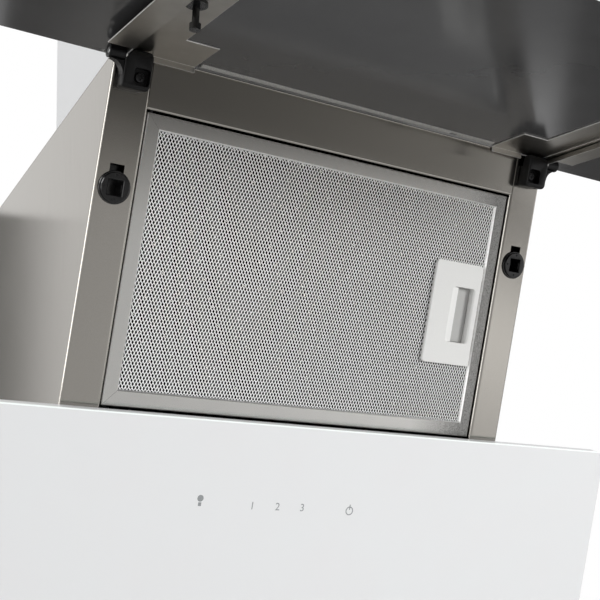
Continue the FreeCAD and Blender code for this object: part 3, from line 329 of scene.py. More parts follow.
def brushed_stainless_steel(name, colours):
    """Stainless sheet, brushed upright and lightly sealed."""
    # Fine upright scratches smear reflections sideways, and the seal leaves a warm grey satin.
    made, tree, shader, place = surface(name, 1.0, 0.11)
    scratch = 0.35 * MM  # real scratches are finer, drawn coarser so that they show
    run = 60 * MM
    cloud = 90 * MM
    fine = (1 / scratch, 1 / scratch, 1 / run)
    stretch = add(tree, "ShaderNodeMapping", {"Vector": place, "Scale": fine}).outputs[0]
    lines = add(tree, "ShaderNodeTexNoise", {"Vector": stretch, "Scale": 1.0, "Detail": 3.0}).outputs[0]
    seal = add(tree, "ShaderNodeTexNoise", {"Vector": place, "Scale": 1 / cloud, "Detail": 2.0}).outputs[0]
    shades = {"Factor": lines, "A": colours.steel, "B": colours.steel_light}
    tint = add(tree, "ShaderNodeMix", shades, data_type="RGBA")
    satin = add(tree, "ShaderNodeMapRange", {"Value": seal, "To Min": 0.1, "To Max": 0.13})
    bump = add(tree, "ShaderNodeBump", {"Height": lines, "Strength": 0.12, "Distance": 0.05 * MM})
    normal = add(tree, "ShaderNodeNewGeometry").outputs["True Normal"]
    tangent = add(tree, "ShaderNodeVectorMath", {0: normal, 1: UPRIGHT}, operation="CROSS_PRODUCT")
    wire(tree, shader, {
        "Base Color": tint.outputs["Result"],
        "Roughness": satin.outputs[0],
        "Anisotropic": 0.9,
        "Tangent": tangent.outputs[0],
        "Normal": bump.outputs[0],
    })
    return made


def rolled_stainless_steel(name, colours):
    """Stainless sheet as it leaves the last pickling and rolling."""
    # Pickling leaves a dull grey satin without a grain.
    return grained(name, 1.0, 0.28, (colours.steel, colours.steel_light), 12 * MM, 4.0)


def sheared_steel_edge(name, colours):
    """The bevelled edges of the stainless brackets, coloured paler than the sheet as a painted highlight."""
    # The paler, less metallic edge draws a fine bright line: a painted highlight.
    return grained(name, 0.6, 0.35, (colours.steel_light, colours.net), 3 * MM, 3.0)


def zinc_plated_sheet(name, colours):
    """Hot-dipped zinc on steel sheet, left bare."""
    # Zinc sets in pale grey spangles, each with its own shade.
    made, tree, shader, place = surface(name, 1.0, 0.45)
    spangle = add(tree, "ShaderNodeTexVoronoi", {"Vector": place, "Scale": 1 / (9 * MM)}).outputs["Color"]
    shades = {"Factor": spangle, "A": colours.zinc, "B": colours.steel_light}
    tint = add(tree, "ShaderNodeMix", shades, data_type="RGBA")
    wire(tree, shader, {"Base Color": tint.outputs["Result"]})
    return made


def white_powder_coat(name, colours):
    """Polyester powder baked on steel sheet."""
    # The baked powder flows into a faint orange peel with a soft gloss.
    peel = (0.1, 0.05 * MM)
    return grained(name, 0.0, 0.32, (colours.flue, colours.white_glass), 1.6 * MM, 1.0, peel)


def white_backed_glass(name, colours):
    """Toughened float glass with white enamel fired on its back."""
    # The enamel's even white lies under a mirror-smooth face.
    return grained(name, 0.0, 0.04, (colours.white_glass, colours.flue), 40 * MM, inputs={"IOR": 1.52})


def grey_coated_glass(name, colours):
    """The enamel on the back of the glass, covered by a dark grey safety film."""
    # The film is smooth and dark, and mirrors lamps softly.
    made, tree, shader, place = surface(name, 0.0, 0.16)
    cloud = add(tree, "ShaderNodeTexNoise", {"Vector": place, "Scale": 1 / (25 * MM), "Detail": 3.0})
    shades = {"Factor": cloud.outputs[0], "A": colours.film, "B": colours.film_light}
    tint = add(tree, "ShaderNodeMix", shades, data_type="RGBA")
    haze = add(tree, "ShaderNodeMapRange", {"Value": cloud.outputs[0], "To Min": 0.12, "To Max": 0.2})
    wire(tree, shader, {"Base Color": tint.outputs["Result"], "Roughness": haze.outputs[0]})
    return made


def polished_glass_edge(name, colours):
    """The ground and polished rim of float glass."""
    # The touch of green is the glass's own; the rim's brightness is a painted glow, a weak emission of its
    # own colour.
    made, tree, shader, place = surface(name, 0.0, 0.12)
    grind = add(tree, "ShaderNodeTexNoise", {"Vector": place, "Scale": 1 / (0.8 * MM), "Detail": 2.0})
    shades = {"Factor": grind.outputs[0], "A": colours.glass_rim, "B": colours.white_glass}
    rim = add(tree, "ShaderNodeMix", shades, data_type="RGBA").outputs["Result"]
    wire(tree, shader, {"Base Color": rim, "IOR": 1.52, "Emission Color": rim, "Emission Strength": 0.3})
    return made


def rolled_aluminium(name, colours):
    """Rolled aluminium channel, mill finish."""
    # Rolling leaves a bright face, and grey, duller patches are mixed in on the right of the frame, round the
    # handle.
    made, tree, shader, place = surface(name, 1.0, 0.2)
    grain = add(tree, "ShaderNodeTexNoise", {"Vector": place, "Scale": 1 / (0.5 * MM), "Detail": 4.0})
    patch = add(tree, "ShaderNodeTexNoise", {"Vector": place, "Scale": 1 / (0.8 * MM), "Detail": 3.0})
    across = add(tree, "ShaderNodeSeparateXYZ", {0: place}).outputs["X"]
    by_handle = {"Value": across, "From Min": 100 * MM, "From Max": 150 * MM, "To Max": 1.4}
    right_patch_factors = {0: add(tree, "ShaderNodeMapRange", by_handle).outputs[0], 1: patch.outputs[0]}
    blotch = add(tree, "ShaderNodeMath", right_patch_factors, operation="MULTIPLY").outputs[0]
    shades = {"Factor": blotch, "A": colours.aluminium, "B": colours.aluminium_dull}
    tint = add(tree, "ShaderNodeMix", shades, data_type="RGBA")
    dull = add(tree, "ShaderNodeMapRange", {"Value": blotch, "From Max": 0.6, "To Min": 0.15, "To Max": 0.3})
    bump = add(tree, "ShaderNodeBump", {"Height": grain.outputs[0], "Strength": 0.03, "Distance": 0.04 * MM})
    wire(tree, shader, {
        "Base Color": tint.outputs["Result"], "Roughness": dull.outputs[0], "Normal": bump.outputs[0],
    })
    return made


def burnished_aluminium(name, colours):
    """The folds and sloped lips of a rolled aluminium channel, coloured paler as a painted highlight."""
    # Its roughness spreads the light, and its paler colour is a painted highlight, so the folds draw a pale
    # line round the frame.
    return grained(name, 1.0, 0.45, (colours.aluminium, colours.net), 1.5 * MM, 3.0)


def expanded_aluminium(name, colours):
    """Aluminium foil, slit and stretched into a net."""
    # Each strand is a bright cut edge that catches light at its own angle.
    return grained(name, 0.1, 0.4, (colours.net_dull, colours.net), 1.1 * MM)


def dark_anodised_aluminium(name, colours):
    """Aluminium net for the filter's core, coloured near black as painted shade."""
    # The near-black colour stands in for the shade inside the filter, so the holes in front of it look black.
    shades = (colours.black_plastic, colours.black_plastic_light)
    return grained(name, 0.0, 0.9, shades, 1.5 * MM, inputs={"Specular IOR Level": 0.1})


def white_abs(name, colours):
    """ABS, moulded white in a spark-eroded mould."""
    # The mould's fine grain keeps the gloss soft.
    shades = (colours.white_plastic_shade, colours.white_plastic)
    return grained(name, 0.0, 0.36, shades, 0.45 * MM, relief=FINE_RELIEF)


def pale_grey_abs(name, colours):
    """ABS, moulded pale grey in a spark-eroded mould."""
    # The same fine grain, a little duller than the white; the grey is partly the latch's own colour and
    # partly painted shade for the bottom of the finger slot.
    return grained(name, 0.0, 0.4, (colours.latch_shade, colours.latch), 0.45 * MM, relief=FINE_RELIEF)


def black_nylon(name, colours):
    """Glass-filled nylon, moulded black."""
    # Glass fibres at the skin break its gloss.
    shades = (colours.black_plastic, colours.black_plastic_light)
    return grained(name, 0.0, 0.4, shades, 0.6 * MM, relief=FINE_RELIEF, inputs={"Specular IOR Level": 0.25})


def black_acetal(name, colours):
    """Acetal, moulded black with a nearly polished face."""
    # Its slippery skin gives small sharp glints.
    shades = (colours.black_plastic, colours.black_plastic_light)
    return grained(name, 0.0, 0.2, shades, 0.6 * MM, relief=FINE_RELIEF)


def grey_abs(name, colours):
    """Flame-proof ABS, moulded grey."""
    # The mould's grain leaves it nearly matt.
    return grained(name, 0.0, 0.5, (colours.zinc, colours.grey_plastic), 0.5 * MM, relief=FINE_RELIEF)


def nitrile_rubber(name, colours):
    """Nitrile rubber, moulded."""
    # Its soft skin hardly shines.
    shades = (colours.black_plastic_light, colours.black_plastic)
    return grained(name, 0.0, 0.75, shades, 0.8 * MM, relief=FINE_RELIEF)


def foam_strip(name, colours):
    """Pale closed-cell foam strip, cut from a roll."""
    # The cut cells are dull and finely speckled.
    return grained(name, 0.0, 0.7, (colours.aluminium_dull, colours.strip), 0.7 * MM, relief=FINE_RELIEF)


def polyester_case(name, colours):
    """Polyester film wound round the motor's capacitor."""
    # The film is smooth, with a soft shine.
    return grained(name, 0.0, 0.3, (colours.white_plastic, colours.strip), 2 * MM, relief=FINE_RELIEF)


def blackened_steel(name, colours):
    """Steel screws and pegs, blackened and oiled."""
    # The oil leaves a soft sheen on black.
    return grained(name, 0.85, 0.4, (colours.black_plastic, colours.film_light), 1.5 * MM, 3.0)


def plated_steel(name, colours):
    """Steel screws and pins, zinc plated."""
    # The plate is bright under a faint haze.
    return grained(name, 1.0, 0.3, (colours.zinc, colours.aluminium), 2 * MM, 3.0)


def lacquered_iron(name, colours):
    """Cast iron under a thin grey lacquer."""
    # The casting sand's grain still shows through the lacquer.
    sand = (0.3, 0.15 * MM)
    return grained(name, 0.3, 0.5, (colours.film, colours.zinc), 1.2 * MM, 4.0, sand)


def lacquered_board(name, colours):
    """Glass-epoxy circuit board under green solder lacquer."""
    # Copper tracks show as paler bands below the lacquer.
    made, tree, shader, place = surface(name, 0.0, 0.3)
    track = add(tree, "ShaderNodeTexBrick", {
        "Vector": place, "Scale": 1 / (6 * MM), "Color1": colours.board, "Color2": colours.board,
        "Mortar": colours.board_track, "Mortar Size": 0.03,
    })
    wire(tree, shader, {"Base Color": track.outputs["Color"]})
    return made


def frosted_acrylic(name, colours):
    """Acrylic lens, etched on its inside."""
    # The etch scatters the light, so the lens is an even milky disc.
    etch = (0.2, 0.05 * MM)
    clear = {"IOR": 1.49, "Transmission Weight": 0.35}
    return grained(name, 0.0, 0.35, (colours.flue, colours.glass_rim), 0.6 * MM, relief=etch, inputs=clear)


def printed_ink(name, colours):
    """Grey ceramic ink, printed and fired on the glass."""
    # The fired dots run together into an even grey.
    return grained(name, 0.0, 0.1, (colours.ink, colours.zinc), 0.3 * MM, 1.0)


def studio_paper(name, colours):
    """Pale seamless paper of pressed pulp, under the hood."""
    # The pulp is matt and faintly clouded.
    return grained(name, 0.0, 0.9, (colours.paper, colours.flue), 4 * MM, 3.0)


def graded_card(name, colours):
    """Matt card, sprayed paler towards the floor."""
    # The metal mirrors it as a slow change from grey to pale.
    made, tree, shader, place = surface(name, 0.0, 1.0)
    spray = add(tree, "ShaderNodeTexNoise", {"Vector": place, "Scale": 1 / (30 * MM)}).outputs[0]
    point = add(tree, "ShaderNodeNewGeometry").outputs["Position"]
    height = add(tree, "ShaderNodeSeparateXYZ", {0: point}).outputs["Z"]
    drift = 50 * MM
    grey, pale = -450 * MM, -720 * MM  # heights between which the spray fades
    speckled = add(tree, "ShaderNodeMath", {0: spray, 1: drift, 2: height}, operation="MULTIPLY_ADD")
    ends = {"Value": speckled.outputs[0], "From Min": grey, "From Max": pale}
    fade = add(tree, "ShaderNodeMapRange", ends).outputs[0]
    shades = {"Factor": fade, "A": colours.card, "B": colours.paper}
    tint = add(tree, "ShaderNodeMix", shades, data_type="RGBA")
    wire(tree, shader, {"Base Color": tint.outputs["Result"], "Specular IOR Level": 0.0})
    return made


def length(name, description, millimetres):
    """A length that a user can change."""
    return FloatProperty(name=name, description=description, default=millimetres * MM, unit="LENGTH")


class HoodSizes(bpy.types.PropertyGroup):
    """Sizes of the hood's visible details."""

    sheet: length("Sheet", "Thickness of the steel sheet", 1.0)
    bend: length("Bend", "Radius of the sheet's middle in a fold", 0.9)
    post_bend: length("Post bend", "Bend radius of the posts, at the middle of the sheet", 1.7)
    post_return: length("Post return", "How deep the posts fold back", 11.5)
    post_seat: length("Post seat", "Width of the posts' last fold", 5.0)
    post_reach: length("Post reach", "How far the posts reach in over their solids", 1.0)
    rail_drop: length("Rail drop", "How far the rail reaches down over its solid", 1.5)
    flange: length("Flange", "Width of the inner flanges", 12.0)
    arris: length("Glass arris", "Bevel along the glass rims", 0.8)
    ledge_drop: length("Ledge drop", "From the lower glass's top edge down to its ledge", 0.9)
    glass_corner: length("Glass corner", "Radius of the glass corners", 2.5)
    rail_wall: length("Rail wall", "Thickness of the filter's channel rails", 0.9)
    rail_band: length("Rail band", "Width of the filter's rails", 9.6)
    rail_foot: length("Rail foot", "How much wider the filter's bottom rail is", 1.0)
    rail_lip: length("Rail lip", "Width of the slope along the rails' inner edge", 0.6)
    net_across: length("Net pitch across", "From hole to hole across the net", 2.47)
    net_along: length("Net pitch along", "From hole to hole up the net", 4.76)
    net_open: FloatProperty(
        name="Net opening", description="Share of the pitch that a hole takes", default=0.72, subtype="FACTOR"
    )
    core_open: FloatProperty(
        name="Core opening", description="The same for the core's holes", default=0.1, subtype="FACTOR"
    )
    net_tilt: length("Net tilt", "Rise of each hole's right end over its left", 0.3)
    handle_trim_low: FloatVectorProperty(
        name="Handle trim, low",
        description="From the handle's solid to its moulding, left, below and behind",
        default=(1.4 * MM, 2.5 * MM, 0), unit="LENGTH",
    )
    handle_trim_high: FloatVectorProperty(
        name="Handle trim, high",
        description="From the handle's solid to its moulding, right, above and in front",
        default=(3.1 * MM, 0.5 * MM, 1.6 * MM), unit="LENGTH",
    )
    handle_edge: length("Handle edge", "Rounding of the handle's edges", 0.7)
    handle_corner: length("Handle corner", "Radius of the handle's corners", 3.0)
    slot_edge: length("Slot edge", "From the finger slot to the handle's right edge", 6.7)
    slot_wide: length("Slot width", "Width of the finger slot", 13.8)
    slot_high: length("Slot height", "Height of the finger slot", 44.6)
    slot_deep: length("Slot depth", "From the handle's face to the latch's floor", 4.8)
    seal_wide: length("Seal width", "Width of the upper glass's foam strip", 5.5)
    seal_notch: length("Seal notch", "From the foam strip's right end to its notch", 39.5)
    slot_ramp: length("Slot ramp", "Width of the ramp on the slot's left", 6.8)
    tongue_wide: length("Tongue width", "Width of the latch's tongue", 12.0)
    hinge_shift: length("Hinge shift", "Hinge moulding's step outwards on its solid", 2.0)
    gusset: length("Gusset", "Fillet beside the hinge's barrel", 8.8)
    hinge_lift: length("Hinge lift", "From the foot of the hinge's solid to its moulding", 5.5)
    plastic_edge: length("Plastic edge", "Rounding of moulded edges", 1.0)
    mark: length("Touch mark", "Height of the touch marks", 8.0)
    mark_spread: length("Mark spacing", "From touch mark to touch mark", 21.0)


def shade(name, description, colour):
    """A colour that a user can change."""
    return FloatVectorProperty(
        name=name, description=description, subtype="COLOR", size=4, min=0, max=1, default=linear(colour)
    )


class HoodColours(bpy.types.PropertyGroup):
    """Colours of the hood's finishes."""

    steel: shade("Steel", "Brushed steel in its scratches", "#9F9B95")
    steel_light: shade("Steel light", "Brushed steel between its scratches", "#B2AFA9")
    zinc: shade("Zinc", "Zinc plate", "#A9ACAD")
    flue: shade("Flue", "Powder coat of the flue covers", "#DEDEDF")
    white_glass: shade("White glass", "Enamel behind the lower glass", "#DEE0E1")
    film: shade("Film", "Film behind the upper glass", "#404041")
    film_light: shade("Film light", "Film behind the upper glass, at its lightest", "#464647")
    glass_rim: shade("Glass rim", "Polished rims of the glass", "#DDE6E2")
    aluminium: shade("Aluminium", "Filter rails", "#CFCECB")
    aluminium_dull: shade("Aluminium dull", "Dull patches on the filter rails", "#5A5A59")
    net: shade("Net", "Strands of the filter's net", "#FFFFFF")
    net_dull: shade("Net dull", "Dull strands of the filter's net", "#EEEEED")
    white_plastic: shade("White plastic", "Handle", "#DEDEDC")
    white_plastic_shade: shade("White plastic shade", "Handle, in the grain", "#D3D3D1")
    # The latch's two greys are partly its own colour and partly painted shade for the bottom of the finger
    # slot.
    latch: shade("Latch", "Latch in the handle's slot", "#B3B3B1")
    latch_shade: shade("Latch shade", "Latch in the handle's slot, in the grain", "#A9A9A7")
    black_plastic: shade("Black plastic", "Hinges, sockets and outlet", "#080809")
    black_plastic_light: shade("Black plastic light", "Hinges, sockets and outlet, on the grain", "#101011")
    grey_plastic: shade("Grey plastic", "Control box", "#8F9294")
    strip: shade("Strip", "Strip behind the upper glass", "#C9C7C2")
    board: shade("Board", "Circuit boards", "#15532B")
    board_track: shade("Board tracks", "Tracks on the circuit boards", "#2F7A46")
    ink: shade("Ink", "Touch marks", "#6A6D70")
    paper: shade("Paper", "Floor", "#DAD9D7")
    card: shade("Card", "Cards that the metal mirrors", "#757472")


class HoodStage(bpy.types.PropertyGroup):
    """Where the camera and the floor stand, and how bright the room's light is."""

    camera_at: FloatVectorProperty(
        name="Camera", description="Where the camera stands", subtype="TRANSLATION",
        default=(-0.4230, -0.8823, -0.2235),
    )
    heading: FloatProperty(
        name="Heading", description="Camera's turn to the right", subtype="ANGLE",
        default=math.radians(32.734),
    )
    pitch: FloatProperty(
        name="Pitch", description="Camera's tilt upwards", subtype="ANGLE", default=math.radians(21.170)
    )
    roll: FloatProperty(
        name="Roll", description="Camera's roll", subtype="ANGLE", default=math.radians(-4.374)
    )
    lens: FloatProperty(
        name="Lens", description="Focal length on a 36 mm sensor", unit="CAMERA", default=64.8
    )
    floor_z: FloatProperty(name="Floor", description="Height of the floor", default=-0.75, unit="LENGTH")
    room_light: FloatProperty(
        name="Room light", description="Light of the white room on matt surfaces", default=0.45
    )


def on_slope(x, o, z):
    """The point of the slanted front that lies at x, o and a height."""
    s = (z - TOP_EDGE.z - o * OUT.z) / UP_SLOPE.z
    return FRONT @ Vector((x, s, o))


class HOOD_OT_housing(bpy.types.Operator):
    """Folds the side panels and the rail, shapes the top plate, and coats the other sheets"""

    bl_idname = "hood.housing"
    bl_label = "Housing"

    def execute(self, context):
        sizes = context.scene.hood_sizes
        steel = finish(brushed_stainless_steel)
        for side, sign in SIDES.items():
            self.side_panel("side_panel_" + side, sign, sizes, steel)
        self.rail(sizes, steel)
        self.top_plate(sizes, steel)
        coat(steel, "bottom_panel", "lower_front_panel", *both("filter_stop"))
        coat(finish(zinc_plated_sheet), "rear_panel", *both("glass_bracket"))
        coat(finish(plated_steel), "body_screws")
        return {"FINISHED"}

    def side_panel(self, node, sign, sizes, steel):
        """One side wall with its post, return and flanges."""
        low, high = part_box(node)
        outer = max(abs(low.x), abs(high.x))
        bay = min(abs(low.x), abs(high.x)) - sizes.post_reach
        half = sizes.sheet / 2
        deep = -sizes.post_return + half
        wall_end = -4 * sizes.post_return
        path = [(bay + sizes.post_seat, deep), (bay + half, deep), (bay + half, -half)]
        path += [(outer - half, -half), (outer - half, wall_end)]
        outline = folded(path, sizes.sheet, (sizes.bend, sizes.post_bend, sizes.post_bend), 8)
        mesh = skin(bmesh.new(), [
            [Vector((sign * x, 0, z)) if o <= wall_end else on_slope(sign * x, o, z) for x, o in outline]
            for z in (low.z, high.z)
        ])
        inside = sorted(sign * (outer - sizes.sheet - width) for width in (0, sizes.flange))
        edge = 0.2 * sizes.sheet
        clear = 2 * sizes.flange
        for y, z in ((-2 * sizes.sheet, low.z + clear), (TOP_EDGE.y + clear, high.z - sizes.sheet)):
            block(mesh, (inside[0], y, z), (inside[1], -sizes.sheet, high.z), edge)
        made = piece(node + "_sheet", mesh, Matrix(), [steel], "housing", [node])
        self.socket_hole(made, node.replace("side_panel", "catch_socket"), sizes)

    def socket_hole(self, made, socket, sizes):
        """Cuts the round hole for a socket's body and the slot for its key."""
        low, high = extent(socket, FRONT)
        radius = (high.x - low.x) / 2
        middle = Vector(((low.x + high.x) / 2, low.y + radius))
        body = radius - 2.6 * MM
        deep = 2 * sizes.sheet
        pierce(made, *about(middle, body, body, -deep, deep), body, FRONT)
        key, clear, corner = 5.1 * MM, 0.1 * MM, 0.2 * MM
        pierce(made, (middle.x - key, middle.y, -deep), (middle.x + key, high.y + clear, deep), corner, FRONT)

    def rail(self, sizes, steel):
        """The rail above the filter, folded back below and under the top plate."""
        low, high = extent("front_rail", FRONT)
        low.y -= sizes.rail_drop
        half = sizes.sheet / 2
        corner = Vector((-sizes.sheet, -half))
        into_wall = Vector((UP_SLOPE.y, OUT.y))
        path = [corner + into_wall * sizes.flange, corner]
        path += [(low.y + half, -half), (low.y + half, -sizes.post_return + half)]
        outline = folded(path, sizes.sheet, (0.6 * sizes.bend, sizes.bend))
        mesh = skin(bmesh.new(), drawn(outline, (low.x, high.x)))
        made = piece("front_rail_sheet", mesh, FRONT, [steel], "housing", ["front_rail"])
        peg_low, peg_high = extent("filter_pegs", FRONT)
        x, o = (peg_low.x + peg_high.x) / 2, (peg_low.z + peg_high.z) / 2
        hole = 2.2 * MM
        stand = FRONT @ Matrix.Rotation(math.radians(-90), 4, "X")
        pierce(made, *about((x, -o), hole, hole, low.y - MM, low.y + 2 * MM), hole, stand)

    def top_plate(self, sizes, steel):
        """The top plate with its outlet hole."""
        low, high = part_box("top_panel")
        collar_low, collar_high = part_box("outlet_collar")
        middle = (collar_low + collar_high) / 2
        collar_flange = 14 * MM
        bore = (collar_high.x - collar_low.x) / 2 - collar_flange
        steps = 12
        soft = 0.3 * sizes.sheet
        rim = inset(low, high, 0, sizes.bend, steps)
        rim_in = inset(low, high, soft, sizes.bend, steps)
        hole = circle(middle, bore, steps)
        mesh = skin(bmesh.new(), [
            level(rim_in, low.z), level(rim, low.z + soft), level(rim, high.z - soft), level(rim_in, high.z),
            level(hole, high.z), level(hole, low.z),
        ], closed=True)
        piece("top_plate", mesh, Matrix(), [steel], "housing", ["top_panel"])


class HOOD_OT_glass(bpy.types.Operator):
    """Grinds the two glass panels, prints the touch marks and lays the ledge and the seal"""

    bl_idname = "hood.glass"
    bl_label = "Glass panels"

    def execute(self, context):
        sizes = context.scene.hood_sizes
        white = finish(white_backed_glass)
        film = finish(grey_coated_glass)
        edge = finish(polished_glass_edge)
        self.panel("lower_glass", FRONT, "housing", "white_glass", [white, white, edge], sizes)
        self.panel("upper_glass", PANEL, "upper_panel", "dark_glass", [white, film, edge], sizes)
        self.touch_marks(sizes)
        self.ledge(sizes)
        self.seal(sizes)
        coat(finish(lacquered_board), "touch_board")
        coat(finish(black_nylon), "touch_tray")
        return {"FINISHED"}

    def panel(self, node, place, body, slot, materials, sizes):
        """One sheet of glass with rounded corners and a polished arris."""
        low, high = extent(node, place)
        arris = sizes.arris
        rim = rounded(low, high, sizes.glass_corner)
        face = inset(low, high, arris, sizes.glass_corner - arris)
        mesh = skin(bmesh.new(), [
            level(face, low.z), level(rim, low.z + arris), level(rim, high.z - arris), level(face, high.z),
        ])
        made = piece(node + "_sheet", mesh, place, materials, body, [node])
        outwards = place.to_3x3() @ Vector((0, 0, 1))
        square = 0.99
        for polygon in made.data.polygons:
            facing = polygon.normal.dot(outwards)
            polygon.material_index = 0 if facing > square else 1 if facing < -square else 2

    def seal(self, sizes):
        """A half-round foam strip along the back of the upper glass, with a short notch."""
        low, high = extent("panel_seal", PANEL)
        notch = high.x - sizes.seal_notch
        half = 4 * MM
        mesh = bmesh.new()
        ends = (low.x, notch - half, notch + half, high.x)
        for i, edge in enumerate((high.y, high.y - sizes.seal_wide / 2, high.y)):
            reach = (edge - high.y + sizes.seal_wide) / 2
            arch = [(edge - reach + reach * c, high.z - (high.z - low.z) * s) for c, s in arc(0, 180, 8)]
            skin(mesh, drawn(arch, ends[i:i + 2]))
        foam = finish(foam_strip)
        piece("panel_seal_strip", mesh, PANEL, [foam], "upper_panel", ["panel_seal"])

    def ledge(self, sizes):
        """A white angle that closes the gap between the lower glass and the sheet behind its top edge."""
        low, high = extent("lower_glass", FRONT)
        top = high.y - sizes.ledge_drop
        gap = 0.2 * MM
        half = sizes.sheet / 2
        path = [(top - half, gap), (top - half, low.z - gap - half), (top - sizes.flange, low.z - gap - half)]
        outline = folded(path, sizes.sheet, (sizes.bend,))
        mesh = skin(bmesh.new(), drawn(outline, (low.x + sizes.arris, high.x - sizes.arris)))
        piece("lower_glass_ledge", mesh, FRONT, [finish(white_powder_coat)], "housing")

    def touch_marks(self, sizes):
        """A row of generic marks: a bulb, three plain numbers and a ring with a bar."""
        board_low, board_high = extent("touch_board", FRONT)
        row = (board_low.y + board_high.y) / 2
        face = extent("lower_glass", FRONT)[1].z
        top = face + 0.05 * MM
        soft = 0.02 * MM
        size, spread = sizes.mark, sizes.mark_spread
        unit = 0.3 * size
        start = -4 * spread
        bulb = skin(bmesh.new(), [disc((start, row + 1.7 * unit), unit, z) for z in (face, top)])
        half = 0.5 * unit
        block(bulb, (start - half, row - 0.6 * unit, face), (start + half, row + half, top), soft)
        marks = {"lamp": bulb}
        for number in (1, 2, 3):
            text = bpy.data.curves.new("touch_number", "FONT")
            text.body = str(number)
            text.size = size
            text.align_x = "CENTER"
            text.align_y = "CENTER"
            shape = bpy.data.objects.new("touch_number", text)
            mesh = bmesh.new()
            mesh.from_mesh(bpy.data.meshes.new_from_object(shape))
            bpy.data.objects.remove(shape)
            at = Matrix.Translation((start + (number + 1) * spread, row, face + 0.04 * MM))
            bmesh.ops.transform(mesh, matrix=at, verts=mesh.verts)
            marks[str(number)] = mesh
        end = start + 6 * spread
        hub = (end, row - 0.1 * size)
        rings = ((0.42, face), (0.42, top), (0.32, top), (0.32, face))
        power = skin(bmesh.new(), [disc(hub, share * size, z) for share, z in rings], closed=True)
        half = 0.05 * size
        block(power, (end - half, row, face), (end + half, row + 0.5 * size, top), soft)
        marks["power"] = power
        for name, mesh in marks.items():
            piece("touch_mark_" + name, mesh, FRONT, [finish(printed_ink)], "housing")


